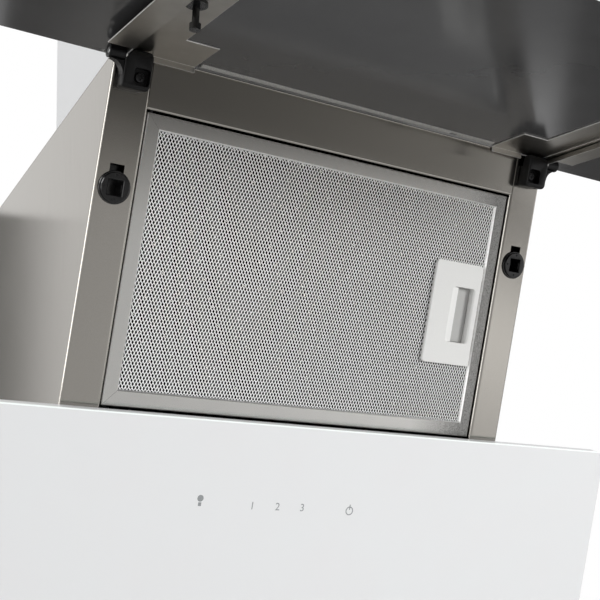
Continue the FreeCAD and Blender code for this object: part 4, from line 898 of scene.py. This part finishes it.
class HOOD_OT_hinges(bpy.types.Operator):
    """Moulds the hinge blocks, turns their pins and screws, and coats the bushes and brackets"""

    bl_idname = "hood.hinges"
    bl_label = "Hinges"

    def execute(self, context):
        sizes = context.scene.hood_sizes
        nylon = finish(black_nylon)
        for side in SIDES:
            self.hinge_block("hinge_block_" + side, sizes, nylon)
            self.pin("hinge_pin_" + side, sizes)
        coat(finish(rolled_stainless_steel), *both("panel_bracket"))
        # The brackets' bevelled edges take a paler finish, a painted highlight.
        soften(0.5 * MM, finish(sheared_steel_edge), *both("panel_bracket"))
        coat(nylon, *both("hinge_bush"))
        return {"FINISHED"}

    def hinge_block(self, node, sizes, nylon):
        """A foot with a screw pocket, a neck and the barrel round the pin."""
        low, high = extent(node, FRONT)
        outer = math.copysign(1, low.x)
        shift = sizes.hinge_shift
        outer_shift = 0.75 * shift
        low.x += shift if outer > 0 else -outer_shift
        high.x += outer_shift if outer > 0 else -shift
        low.y += sizes.hinge_lift
        pivot = FRONT.inverted() @ PIVOT
        radius = high.y - pivot.y
        edge = sizes.plastic_edge
        foot_top = pivot.y - radius
        corner = 2.5 * MM
        profile = [(foot_top, 0), (low.y, 0)]
        profile += [(low.y + corner * (1 + c), high.z - corner * (1 - s)) for c, s in arc(180, 90, 4)]
        profile += [(pivot.y + radius * c, pivot.z + radius * s) for c, s in arc(90, -90, 12)]
        profile.append((foot_top, pivot.z - radius))
        heart = Vector(((low.y + high.y) / 2, high.z / 2))
        rounding = ((0, 0.84), (0.3, 0.92), (1, 0.97), (2.2, 1.0))  # depth in edges, and the profile's share
        ends = [(low.x + depth * edge, share) for depth, share in rounding]
        ends += [(high.x - depth * edge, share) for depth, share in reversed(rounding)]
        mesh = skin(bmesh.new(), [
            [Vector((x, *(heart + (Vector(point) - heart) * share))) for point in profile]
            for x, share in ends
        ])
        made = piece(node + "_moulding", mesh, FRONT, [nylon], "housing", [node])
        pocket, pocket_corner, pocket_deep, pocket_rise = 5.6 * MM, 2.2 * MM, 5.5 * MM, 8.7 * MM
        middle = ((low.x + high.x) / 2 - 1.6 * outer * shift, low.y + pocket_rise)
        sunk = high.z - pocket_deep
        pierce(made, *about(middle, pocket, pocket, sunk, high.z + MM), pocket_corner, FRONT)
        rim = made.modifiers.new("rim", "BEVEL")
        rim.width = 0.4 * edge
        rim.segments = 2
        rim.limit_method = "ANGLE"
        self.gusset(node, outer, foot_top, (pivot.z - 0.8 * radius, high.z - edge), sizes, nylon)
        self.screw(node, middle, sunk)

    def gusset(self, node, outer, foot_top, heights, sizes, nylon):
        """A hollow fillet below the barrel, on the outer side of the panel's bracket."""
        gap, drop = 0.4 * MM, 0.2 * MM
        bush_low, bush_high = extent(node.replace("block", "bush"), FRONT)
        side = min(bush_low.x, bush_high.x, key=abs) + outer * gap
        size = sizes.gusset
        outline = [(side, foot_top)]
        outline += [
            (side + outer * size * (1 - c), foot_top - size * (1 - s) - drop) for c, s in arc(0, 90, 6)
        ]
        mesh = skin(bmesh.new(), [level(outline, height) for height in heights])
        piece(node + "_gusset", mesh, FRONT, [nylon], "housing")

    def pin(self, node, sizes):
        """A turned pin with rounded ends, whose inner end is hidden in its block."""
        low, high = extent(node, FRONT)
        pivot = FRONT.inverted() @ PIVOT
        radius = (high.y - low.y) / 2
        soft = 0.6 * MM
        if low.x > 0:
            low.x += 2 * sizes.hinge_shift
        else:
            high.x -= 2 * sizes.hinge_shift
        thin = radius - soft
        ends = [(low.x, thin), (low.x + soft, radius), (high.x - soft, radius), (high.x, thin)]
        mesh = skin(bmesh.new(), [drawn(circle((pivot.y, pivot.z), r), [x])[0] for x, r in ends])
        piece(node + "_turned", mesh, FRONT, [finish(plated_steel)], "upper_panel", [node])

    def screw(self, node, middle, seat):
        """A pan head with a cross recess."""
        radius = 3.4 * MM
        rings = ((1, 0), (1, 1.2 * MM), (0.9, 1.8 * MM), (0.6, 2.2 * MM))  # share of the radius, and rise
        top = seat + rings[-1][1]
        mesh = skin(bmesh.new(), [disc(middle, share * radius, seat + rise) for share, rise in rings])
        name = node.replace("block", "screw") + "_head"
        oiled = finish(blackened_steel)
        made = piece(name, mesh, FRONT, [oiled], "housing", ["hinge_screws"])
        long, wide, deep = 2.0 * MM, 0.5 * MM, 1.1 * MM
        for across, along in ((long, wide), (wide, long)):
            pierce(made, *about(middle, across, along, top - deep, top + MM), 0.2 * MM, FRONT)


class HOOD_OT_catches(bpy.types.Operator):
    """Moulds the snap sockets and coats the studs and stops"""

    bl_idname = "hood.catches"
    bl_label = "Catches"

    def execute(self, context):
        acetal = finish(black_acetal)
        for side in SIDES:
            self.socket("catch_socket_" + side, acetal)
        coat(acetal, *both("catch_stud"))
        coat(finish(nitrile_rubber), "panel_bumpers")
        return {"FINISHED"}

    def socket(self, node, acetal):
        """A stepped round face with a square hole, sprung cheeks inside and a key above."""
        low, high = extent(node, FRONT)
        radius = (high.x - low.x) / 2
        middle = ((low.x + high.x) / 2, low.y + radius)
        face = high.z
        rim, rim_soft = 1.1 * MM, 0.4 * MM
        step = radius - rim
        hole, hole_corner = 5.3 * MM, 0.6 * MM
        body = radius - 2.8 * MM
        floor = low.z + 1.5 * MM
        lip = 0.5 * MM

        def square(half, height):
            return level(rounded(*about(middle, half, half), hole_corner, 8), height)

        mesh = skin(bmesh.new(), [
            disc(middle, body, low.z), disc(middle, body, 0), disc(middle, radius, 0),
            disc(middle, radius, rim), disc(middle, radius - rim_soft, rim + rim_soft),
            disc(middle, step, rim + rim_soft), disc(middle, step, face - lip),
            disc(middle, step - lip, face), square(hole + lip, face),
            square(hole, face - lip), square(hole, floor),
        ])
        cheek, cheek_edge, cheek_foot, cheek_sunk = 1.0 * MM, 0.3 * MM, 2 * MM, 1.2 * MM
        for sign in SIDES.values():
            wall = sorted((middle[0] + sign * hole, middle[0] + sign * (hole - cheek)))
            start = (wall[0], middle[1] - 0.5 * hole, low.z + cheek_foot)
            block(mesh, start, (wall[1], middle[1] + 0.5 * hole, face - cheek_sunk), cheek_edge)
        key, key_edge, key_thick = 5.0 * MM, 0.2 * MM, 3 * MM
        below = (middle[0] - key, middle[1] + body - MM, low.z)
        block(mesh, below, (middle[0] + key, high.y, low.z + key_thick), key_edge)
        piece(node + "_moulding", mesh, FRONT, [acetal], "housing", [node])
        marks = bmesh.new()
        ring, mark, sunk, proud = radius - 3.1 * MM, 0.9 * MM, 0.2 * MM, 0.04 * MM
        for c, s in arc(90, 270, 2):
            at = (middle[0] + ring * c, middle[1] + ring * s)
            skin(marks, [disc(at, mark, height) for height in (face - sunk, face + proud)])
        piece(node + "_marks", marks, FRONT, [finish(nitrile_rubber)], "housing")


class HOOD_OT_filter_frame(bpy.types.Operator):
    """Rolls the filter's four mitred rails"""

    bl_idname = "hood.filter_frame"
    bl_label = "Filter frame"

    def execute(self, context):
        sizes = context.scene.hood_sizes
        aluminium = [finish(rolled_aluminium), finish(burnished_aluminium)]
        low = extent("filter_rail_bottom", FRONT)[0]
        high = extent("filter_rail_top", FRONT)[1]
        wall = sizes.rail_wall
        band = sizes.rail_band
        half = wall / 2
        face = high.z - half
        back = low.z + half
        seam = 0.08 * MM
        fold, lip_fold = 0.7 * MM, 0.3 * MM
        lip_fall = 1.4  # of the lip's slope, over its width
        right_lip = 2.2  # how many times wider the right rail's lip is
        steep, flat = 0.3, 0.95  # between them a face is one of a fold
        low.y -= sizes.rail_foot
        wide = 1 + sizes.rail_foot / band
        # Each rail's two ends: the frame's outer corner there and how far one goes inward from it
        corners = {
            "top": ((low.x, high.y, 1, -1), (high.x, high.y, -1, -1)),
            "bottom": ((high.x, low.y, -1, wide), (low.x, low.y, 1, wide)),
            "left": ((low.x, low.y, 1, wide), (low.x, high.y, 1, -1)),
            "right": ((high.x, high.y, -1, -1), (high.x, low.y, -1, wide)),
        }
        for side, ends in corners.items():
            lip = sizes.rail_lip * (right_lip if side == "right" else 1)
            edge = band + wall
            path = [(band, back), (half, back), (half, face)]
            path += [(edge - lip, face), (edge, face - lip_fall * lip)]
            outline = folded(path, wall, (fold, fold, lip_fold))
            along = (Vector(ends[1][:2]) - Vector(ends[0][:2])).normalized() * seam
            mesh = skin(bmesh.new(), [
                [Vector((x + inward_x * d + shift.x, s + inward_s * d + shift.y, o)) for d, o in outline]
                for (x, s, inward_x, inward_s), shift in zip(ends, (along, -along))
            ])
            mesh.normal_update()
            # Faces of the folds and lips take the paler finish, a painted highlight.
            for strip in mesh.faces:
                strip.material_index = int(steep < abs(strip.normal.z) < flat)
            node = "filter_rail_" + side
            piece(node + "_channel", mesh, FRONT, aluminium, "grease_filter", [node])
        # Blackened steel is the pegs' finish, and its near-black also keeps them dark in the shaded gap
        # beside the filter, as painted shade.
        coat(finish(blackened_steel), "filter_pegs")
        return {"FINISHED"}


class HOOD_OT_filter_net(bpy.types.Operator):
    """Slits and stretches the filter's three layers of net"""

    bl_idname = "hood.filter_net"
    bl_label = "Filter net"

    def execute(self, context):
        sizes = context.scene.hood_sizes
        bright = finish(expanded_aluminium)
        # The core's near-black finish is painted shade inside the filter.
        dark = finish(dark_anodised_aluminium)
        tilt = sizes.net_tilt
        core, back = 2.6, 2  # how many times coarser than the front layer
        self.layer("filter_mesh_front", sizes, 1, sizes.net_open, tilt, True, bright)
        self.layer("filter_core", sizes, core, sizes.core_open, 2 * tilt, True, dark)
        self.layer("filter_mesh_back", sizes, back, sizes.net_open, 0.5 * tilt, False, bright)
        return {"FINISHED"}

    def layer(self, node, sizes, coarse, opening, tilt, round_handle, material):
        """A net of diamond holes, whose strands twist so that each hole's right end stands out."""
        low, high = extent(node, FRONT)
        box = 12 * MM  # from the handle's ends to the box behind it
        box_side = 13 * MM  # from the latch's left end to where the box's opening begins
        pocket = extent("latch_slider", FRONT)[0].x - box_side
        handle_low, handle_high = extent("filter_handle", FRONT)
        across = sizes.net_across * coarse
        along = sizes.net_along * coarse
        columns = int((high.x - low.x) / across)
        rows = int((high.y - low.y) / along * 2) - 1
        front = high.z - tilt / 2
        foil = 0.25 * MM * coarse
        back = max(low.z, front - foil)
        ridge = (front + back) / 2
        reach = Vector((across / 2, along / 2))
        open_reach = reach * opening
        corners = ((1, 0), (0, 1), (-1, 0), (0, -1))
        verts = []
        faces = []
        bonds = {}

        def bond(column2, row, side):
            """The place where four strands meet, on one side of the net."""
            key = (column2, row, side)
            if key not in bonds:
                bonds[key] = len(verts)
                place = (low.x + (column2 + 1) * reach.x, low.y + (row + 1) * reach.y)
                verts.append((*place, front if side else back))
            return bonds[key]

        for row in range(rows):
            for column in range(columns - row % 2):
                column2 = 2 * column + row % 2
                x = low.x + (column2 + 1) * reach.x
                s = low.y + (row + 1) * reach.y
                if round_handle and x > pocket and handle_low.y + box < s < handle_high.y - box:
                    continue
                first = len(verts)
                for u, v in corners:
                    verts.append((x + u * open_reach.x, s + v * open_reach.y, ridge + u * tilt / 2))
                for i in range(4):
                    j = (i + 1) % 4
                    a = (column2 + corners[i][0], row + corners[i][1])
                    b = (column2 + corners[j][0], row + corners[j][1])
                    faces.append((bond(*a, 1), bond(*b, 1), first + j, first + i))
                    faces.append((bond(*b, 0), bond(*a, 0), first + i, first + j))
        data = bpy.data.meshes.new(node)
        data.from_pydata(verts, [], faces)
        mesh = bmesh.new()
        mesh.from_mesh(data)
        bpy.data.meshes.remove(data)
        piece(node + "_net", mesh, FRONT, [material], "grease_filter", [node], 20)


class HOOD_OT_filter_handle(bpy.types.Operator):
    """Moulds the filter's handle and the latch in its slot"""

    bl_idname = "hood.filter_handle"
    bl_label = "Filter handle"

    def execute(self, context):
        sizes = context.scene.hood_sizes
        self.handle(sizes, finish(white_abs))
        # The latch's grey is partly painted shade for the slot's floor.
        self.latch(sizes, finish(pale_grey_abs))
        return {"FINISHED"}

    def handle(self, sizes, white):
        """A plate with rounded edges, a ramp into its finger slot, and the box behind it."""
        low, high = extent("filter_handle", FRONT)
        low += Vector(sizes.handle_trim_low)
        high -= Vector(sizes.handle_trim_high)
        slot_low, slot_high = self.slot(sizes)
        travel = JOINTS["latch_slide"]["range_m"][1]
        seat = extent("filter_mesh_front", FRONT)[1].z
        latch_low, latch_high = extent("latch_slider", FRONT)
        floor = latch_low.z
        edge = sizes.handle_edge
        wall, box_corner, well_corner = 3 * MM, 2 * MM, 0.5 * MM

        def plate(by, height):
            corner = sizes.handle_corner - min(by, edge)
            return level(inset(low, high, by, corner), height)

        def slot(left, right, ends, corner, height):
            start, end = (slot_low.x - left, slot_low.y - ends), (slot_high.x + right, slot_high.y + ends)
            return level(rounded(start, end, corner), height)

        loops = [slot(travel + wall, wall, wall, box_corner, height) for height in (low.z, seat)]
        loops.append(plate(0, seat))
        loops += [plate(edge * (1 - c), high.z - edge * (1 - s)) for c, s in arc(0, 90, 4)]
        loops.append(plate(2 * edge, high.z))
        ramp = sizes.slot_ramp / MM
        # From the face into the slot, in millimetres: how far each ring stands out from the slot on its left,
        # right and ends, the radius of its corners and how deep it lies
        rings = (
            (ramp + 1.6, 3.0, 1.2, 3.6, 0),
            (ramp + 0.9, 2.4, 0.6, 3.0, 0),
            (ramp + 0.3, 1.8, 0.35, 2.7, 0.08),
            (ramp - 0.5, 1.0, 0.15, 2.2, 0.45),
            (ramp - 1.1, 0.45, 0.05, 1.8, 0.8),
            (0.5, 0.2, 0, 0.9, 2.2),
            (0.1, 0.05, 0, 0.6, 2.4),
            (0, 0, 0, 0.5, 2.7),
        )
        for left, right, ends, corner, drop in rings:
            loops.append(slot(left * MM, right * MM, ends * MM, corner * MM, high.z - drop * MM))
        under = slot_low.z + 0.3 * MM
        for left, height in ((0, under), (travel, under), (travel, floor - 0.1 * MM)):
            loops.append(slot(left, 0, 0, well_corner, height))
        mesh = skin(bmesh.new(), loops)
        node = "filter_handle"
        made = piece(node + "_moulding", mesh, FRONT, [white], "grease_filter", [node], 40)
        middle = (latch_low.y + latch_high.y) / 2
        clear, corner = 0.4 * MM, 0.2 * MM
        half = sizes.tongue_wide / 2 + clear
        start = (slot_high.x - 0.5 * MM, middle - half, floor - clear)
        pierce(made, start, (slot_high.x + wall + MM, middle + half, floor + MM), corner, FRONT)

    def slot(self, sizes):
        """The finger slot's lowest and highest corners; its floor is the latch's."""
        handle_low, handle_high = extent("filter_handle", FRONT)
        right = handle_high.x - sizes.handle_trim_high[0] - sizes.slot_edge
        lift = 0.35 * MM  # of the slot's middle over the middle of the handle's solid
        middle = (handle_low.y + handle_high.y) / 2 + lift
        face = handle_high.z - sizes.handle_trim_high[2]
        low = Vector((right - sizes.slot_wide, middle - sizes.slot_high / 2, face - sizes.slot_deep))
        return low, Vector((right, middle + sizes.slot_high / 2, face))

    def latch(self, sizes, grey):
        """A tray that slides in the slot, and its tongue that reaches into the right post."""
        low, high = extent("latch_slider", FRONT)
        slot_low, slot_high = self.slot(sizes)
        gap, edge, corner, corner_in = 0.2 * MM, 0.4 * MM, 0.5 * MM, 0.3 * MM
        start = (slot_low.x + gap, slot_low.y + gap)
        end = (slot_high.x - 1.5 * gap, slot_high.y - gap)
        tray = rounded(start, end, corner)
        tray_in = inset(start, end, edge, corner_in)
        mesh = skin(bmesh.new(), [
            level(tray_in, low.z), level(tray, low.z + edge),
            level(tray, slot_low.z - edge), level(tray_in, slot_low.z),
        ])
        piece("latch_tray", mesh, FRONT, [grey], "latch", ["latch_slider"], 40)
        middle = (low.y + high.y) / 2
        half, thick, soft = sizes.tongue_wide / 2, 0.8 * MM, 0.2 * MM
        nose = bmesh.new()
        tip = (high.x - sizes.post_reach, middle + half, low.z + thick)
        block(nose, (slot_high.x, middle - half, low.z), tip, soft)
        piece("latch_tongue", nose, FRONT, [grey], "latch", ["latch_slider"])


class HOOD_OT_flue(bpy.types.Operator):
    """Folds the two flue covers and coats the outlet"""

    bl_idname = "hood.flue"
    bl_label = "Flue and outlet"

    def execute(self, context):
        sizes = context.scene.hood_sizes
        powder = finish(white_powder_coat)
        self.cover("chimney_lower", "housing", True, sizes, powder)
        self.cover("chimney_upper", "sliding_flue", False, sizes, powder)
        black = ("outlet_collar", "damper_flap_front", "damper_flap_rear", "cable_gland")
        coat(finish(black_nylon), *black)
        return {"FINISHED"}

    def cover(self, node, body, footed, sizes, powder):
        """A cover folded round three sides, with returns on the wall and a foot if it stands on the hood."""
        low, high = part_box(node)
        half = sizes.sheet / 2
        lip = sizes.flange
        left, right, front, back = low.x + half, high.x - half, low.y + half, high.y - half
        path = [(high.x - lip, back), (right, back), (right, front)]
        path += [(left, front), (left, back), (low.x + lip, back)]
        outline = folded(path, sizes.sheet, (sizes.bend,))
        mesh = skin(bmesh.new(), [level(outline, low.z), level(outline, high.z)])
        if footed:
            top = low.z + sizes.sheet
            edge = 0.2 * sizes.sheet
            feet = ((left, right, low.y + lip), (left, low.x + lip, back), (high.x - lip, right, back))
            for start, end, deep in feet:
                block(mesh, (start, front, low.z), (end, deep, top), edge)
        piece(node + "_sheet", mesh, Matrix(), [powder], body, [node])


class HOOD_OT_fan(bpy.types.Operator):
    """Coats the fan and the electrics inside the housing"""

    bl_idname = "hood.fan"
    bl_label = "Fan and electrics"

    def execute(self, context):
        coat(finish(black_nylon), *both("scroll_half"), "impeller")
        coat(finish(lacquered_iron), "motor")
        coat(finish(zinc_plated_sheet), "motor_bracket")
        coat(finish(plated_steel), "motor_screws", "motor_shaft")
        coat(finish(grey_abs), "control_box", "control_lid")
        coat(finish(lacquered_board), "control_board")
        coat(finish(polyester_case), "capacitor")
        return {"FINISHED"}


class HOOD_OT_lamps(bpy.types.Operator):
    """Moulds the lamp lenses and coats the lamps"""

    bl_idname = "hood.lamps"
    bl_label = "Lamps"

    def execute(self, context):
        acrylic = finish(frosted_acrylic)
        rim, bulge = 0.4 * MM, 1.2 * MM
        for node in both("lamp_lens"):
            low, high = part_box(node)
            middle = (low + high) / 2
            radius = (high.x - low.x) / 2
            loops = [disc(middle, radius, height) for height in (high.z, low.z + rim)]
            for share in (0.97, 0.9, 0.75, 0.5, 0.25):
                loops.append(disc(middle, radius * share, low.z - bulge * (1 - share ** 2)))
            mesh = skin(bmesh.new(), loops)
            piece(node + "_dome", mesh, Matrix(), [acrylic], "housing", [node])
        coat(finish(rolled_aluminium), *both("lamp"))
        coat(finish(lacquered_board), "lamp_boards")
        return {"FINISHED"}


class HOOD_OT_stage(bpy.types.Operator):
    """Sets the floor, the white room, the cards, the lamps and the camera"""

    bl_idname = "hood.stage"
    bl_label = "Stage"

    def execute(self, context):
        scene = context.scene
        stage = scene.hood_stage
        scene.view_settings.view_transform = "Standard"
        self.room(scene, stage)
        floor = self.sheet("floor", finish(studio_paper), (-0.6, -1, stage.floor_z), (0, 0, 1), (6.8, 8))
        floor.visible_camera = False
        self.camera(scene, stage)
        card = finish(graded_card)
        # Each card's middle, the way it faces and its width and height, in metres
        for name, at, facing, size in (
            ("card_front", (-0.04, -2.3, 0.025), (0, 1, 0), (4.02, 1.55)),
            ("card_behind", (-0.355, 0.8, -0.06), (0, -1, 0), (0.3, 1.376)),
            ("card_right", (1.2, 0.295, -0.17), (-1, 0, 0), (0.99, 1.15)),
        ):
            mirrored = self.sheet(name, card, at, facing, size)
            mirrored.visible_camera = False
            mirrored.visible_diffuse = False
            mirrored.visible_shadow = False
        # Each lamp's place, what it points at and its width, in metres, and its power in watts
        key = self.lamp(scene, "key", (2.3, -2.5, 0.1), (0, -0.35, 0.0), 0.8, 9)
        key.data.spread = math.radians(60)
        key.visible_glossy = False
        self.lamp(scene, "side", (-3.6, -1.9, 1.2), (0, -0.3, 0.0), 2.0, 75)
        self.lamp(scene, "floor_lamp", (1.75, -1.8, 0.25), (1.75, -1.801, -0.75), 0.5, 13)
        edge = self.lamp(scene, "edge_lamp", (-2.4, -0.3, -0.15), (0, -0.3, -0.15), 1.2, 14)
        edge.visible_diffuse = False
        return {"FINISHED"}

    def room(self, scene, stage):
        """White all round for the camera and in mirrors, and a plain level of light on the rest."""
        world = bpy.data.worlds.new("white_room")
        world.use_nodes = True
        tree = world.node_tree
        path = add(tree, "ShaderNodeLightPath").outputs
        seen = path["Is Camera Ray"]
        for ray in ("Is Glossy Ray", "Is Transmission Ray"):
            seen = add(tree, "ShaderNodeMath", {0: seen, 1: path[ray]}, operation="MAXIMUM").outputs[0]
        glow = add(tree, "ShaderNodeMapRange", {"Value": seen, "To Min": stage.room_light}).outputs[0]
        wire(tree, tree.nodes["Background"], {"Color": (1, 1, 1, 1), "Strength": glow})
        scene.world = world

    def sheet(self, name, material, at, facing, size):
        """A flat sheet of the stage."""
        turn = Vector(facing).to_track_quat("Z", "Y").to_matrix().to_4x4()
        mesh = bmesh.new()
        stretch = Matrix.Diagonal((*size, 1, 1))
        bmesh.ops.create_grid(mesh, x_segments=1, y_segments=1, size=0.5, matrix=stretch)
        data = bpy.data.meshes.new(name)
        mesh.to_mesh(data)
        mesh.free()
        data.materials.append(material)
        made = bpy.data.objects.new(name, data)
        made.matrix_world = Matrix.Translation(at) @ turn
        bpy.context.scene.collection.objects.link(made)
        return made

    def lamp(self, scene, name, at, aim, size, power):
        """A square soft lamp."""
        light = bpy.data.lights.new(name, "AREA")
        light.size = size
        light.energy = power
        made = bpy.data.objects.new(name, light)
        made.location = at
        made.rotation_euler = (Vector(aim) - Vector(at)).to_track_quat("-Z", "Y").to_euler()
        made.visible_camera = False
        scene.collection.objects.link(made)
        return made

    def camera(self, scene, stage):
        """The camera where the photograph was taken from."""
        view = bpy.data.cameras.new("camera")
        view.lens = stage.lens
        view.clip_start = 0.01
        made = bpy.data.objects.new("camera", view)
        heading = Matrix.Rotation(-stage.heading, 4, "Z")
        pitch = Matrix.Rotation(math.radians(90) + stage.pitch, 4, "X")
        roll = Matrix.Rotation(stage.roll, 4, "Z")
        made.matrix_world = Matrix.Translation(stage.camera_at) @ (heading @ pitch) @ roll
        scene.collection.objects.link(made)
        scene.camera = made


OPERATORS = (
    HOOD_OT_housing,
    HOOD_OT_glass,
    HOOD_OT_hinges,
    HOOD_OT_catches,
    HOOD_OT_filter_frame,
    HOOD_OT_filter_net,
    HOOD_OT_filter_handle,
    HOOD_OT_flue,
    HOOD_OT_fan,
    HOOD_OT_lamps,
    HOOD_OT_stage,
)


class HOOD_PT_sidebar(bpy.types.Panel):
    """Lists the hood's pieces"""

    bl_label = "Hood"
    bl_idname = "HOOD_PT_sidebar"
    bl_space_type = "VIEW_3D"
    bl_region_type = "UI"
    bl_category = "Hood"

    def draw(self, context):
        for operator in OPERATORS:
            self.layout.operator(operator.bl_idname)


GROUPS = {"hood_sizes": HoodSizes, "hood_colours": HoodColours, "hood_stage": HoodStage}


def register():
    for group in GROUPS.values():
        bpy.utils.register_class(group)
    for operator in OPERATORS:
        bpy.utils.register_class(operator)
    bpy.utils.register_class(HOOD_PT_sidebar)
    for name, group in GROUPS.items():
        setattr(bpy.types.Scene, name, PointerProperty(type=group))


def unregister():
    for name in GROUPS:
        delattr(bpy.types.Scene, name)
    bpy.utils.unregister_class(HOOD_PT_sidebar)
    for operator in reversed(OPERATORS):
        bpy.utils.unregister_class(operator)
    for group in reversed(GROUPS.values()):
        bpy.utils.unregister_class(group)


def main():
    """Builds the whole hood and its stage."""
    register()
    for operator in OPERATORS:
        group, name = operator.bl_idname.split(".")
        getattr(getattr(bpy.ops, group), name)()


if __name__ == "__main__":
    main()
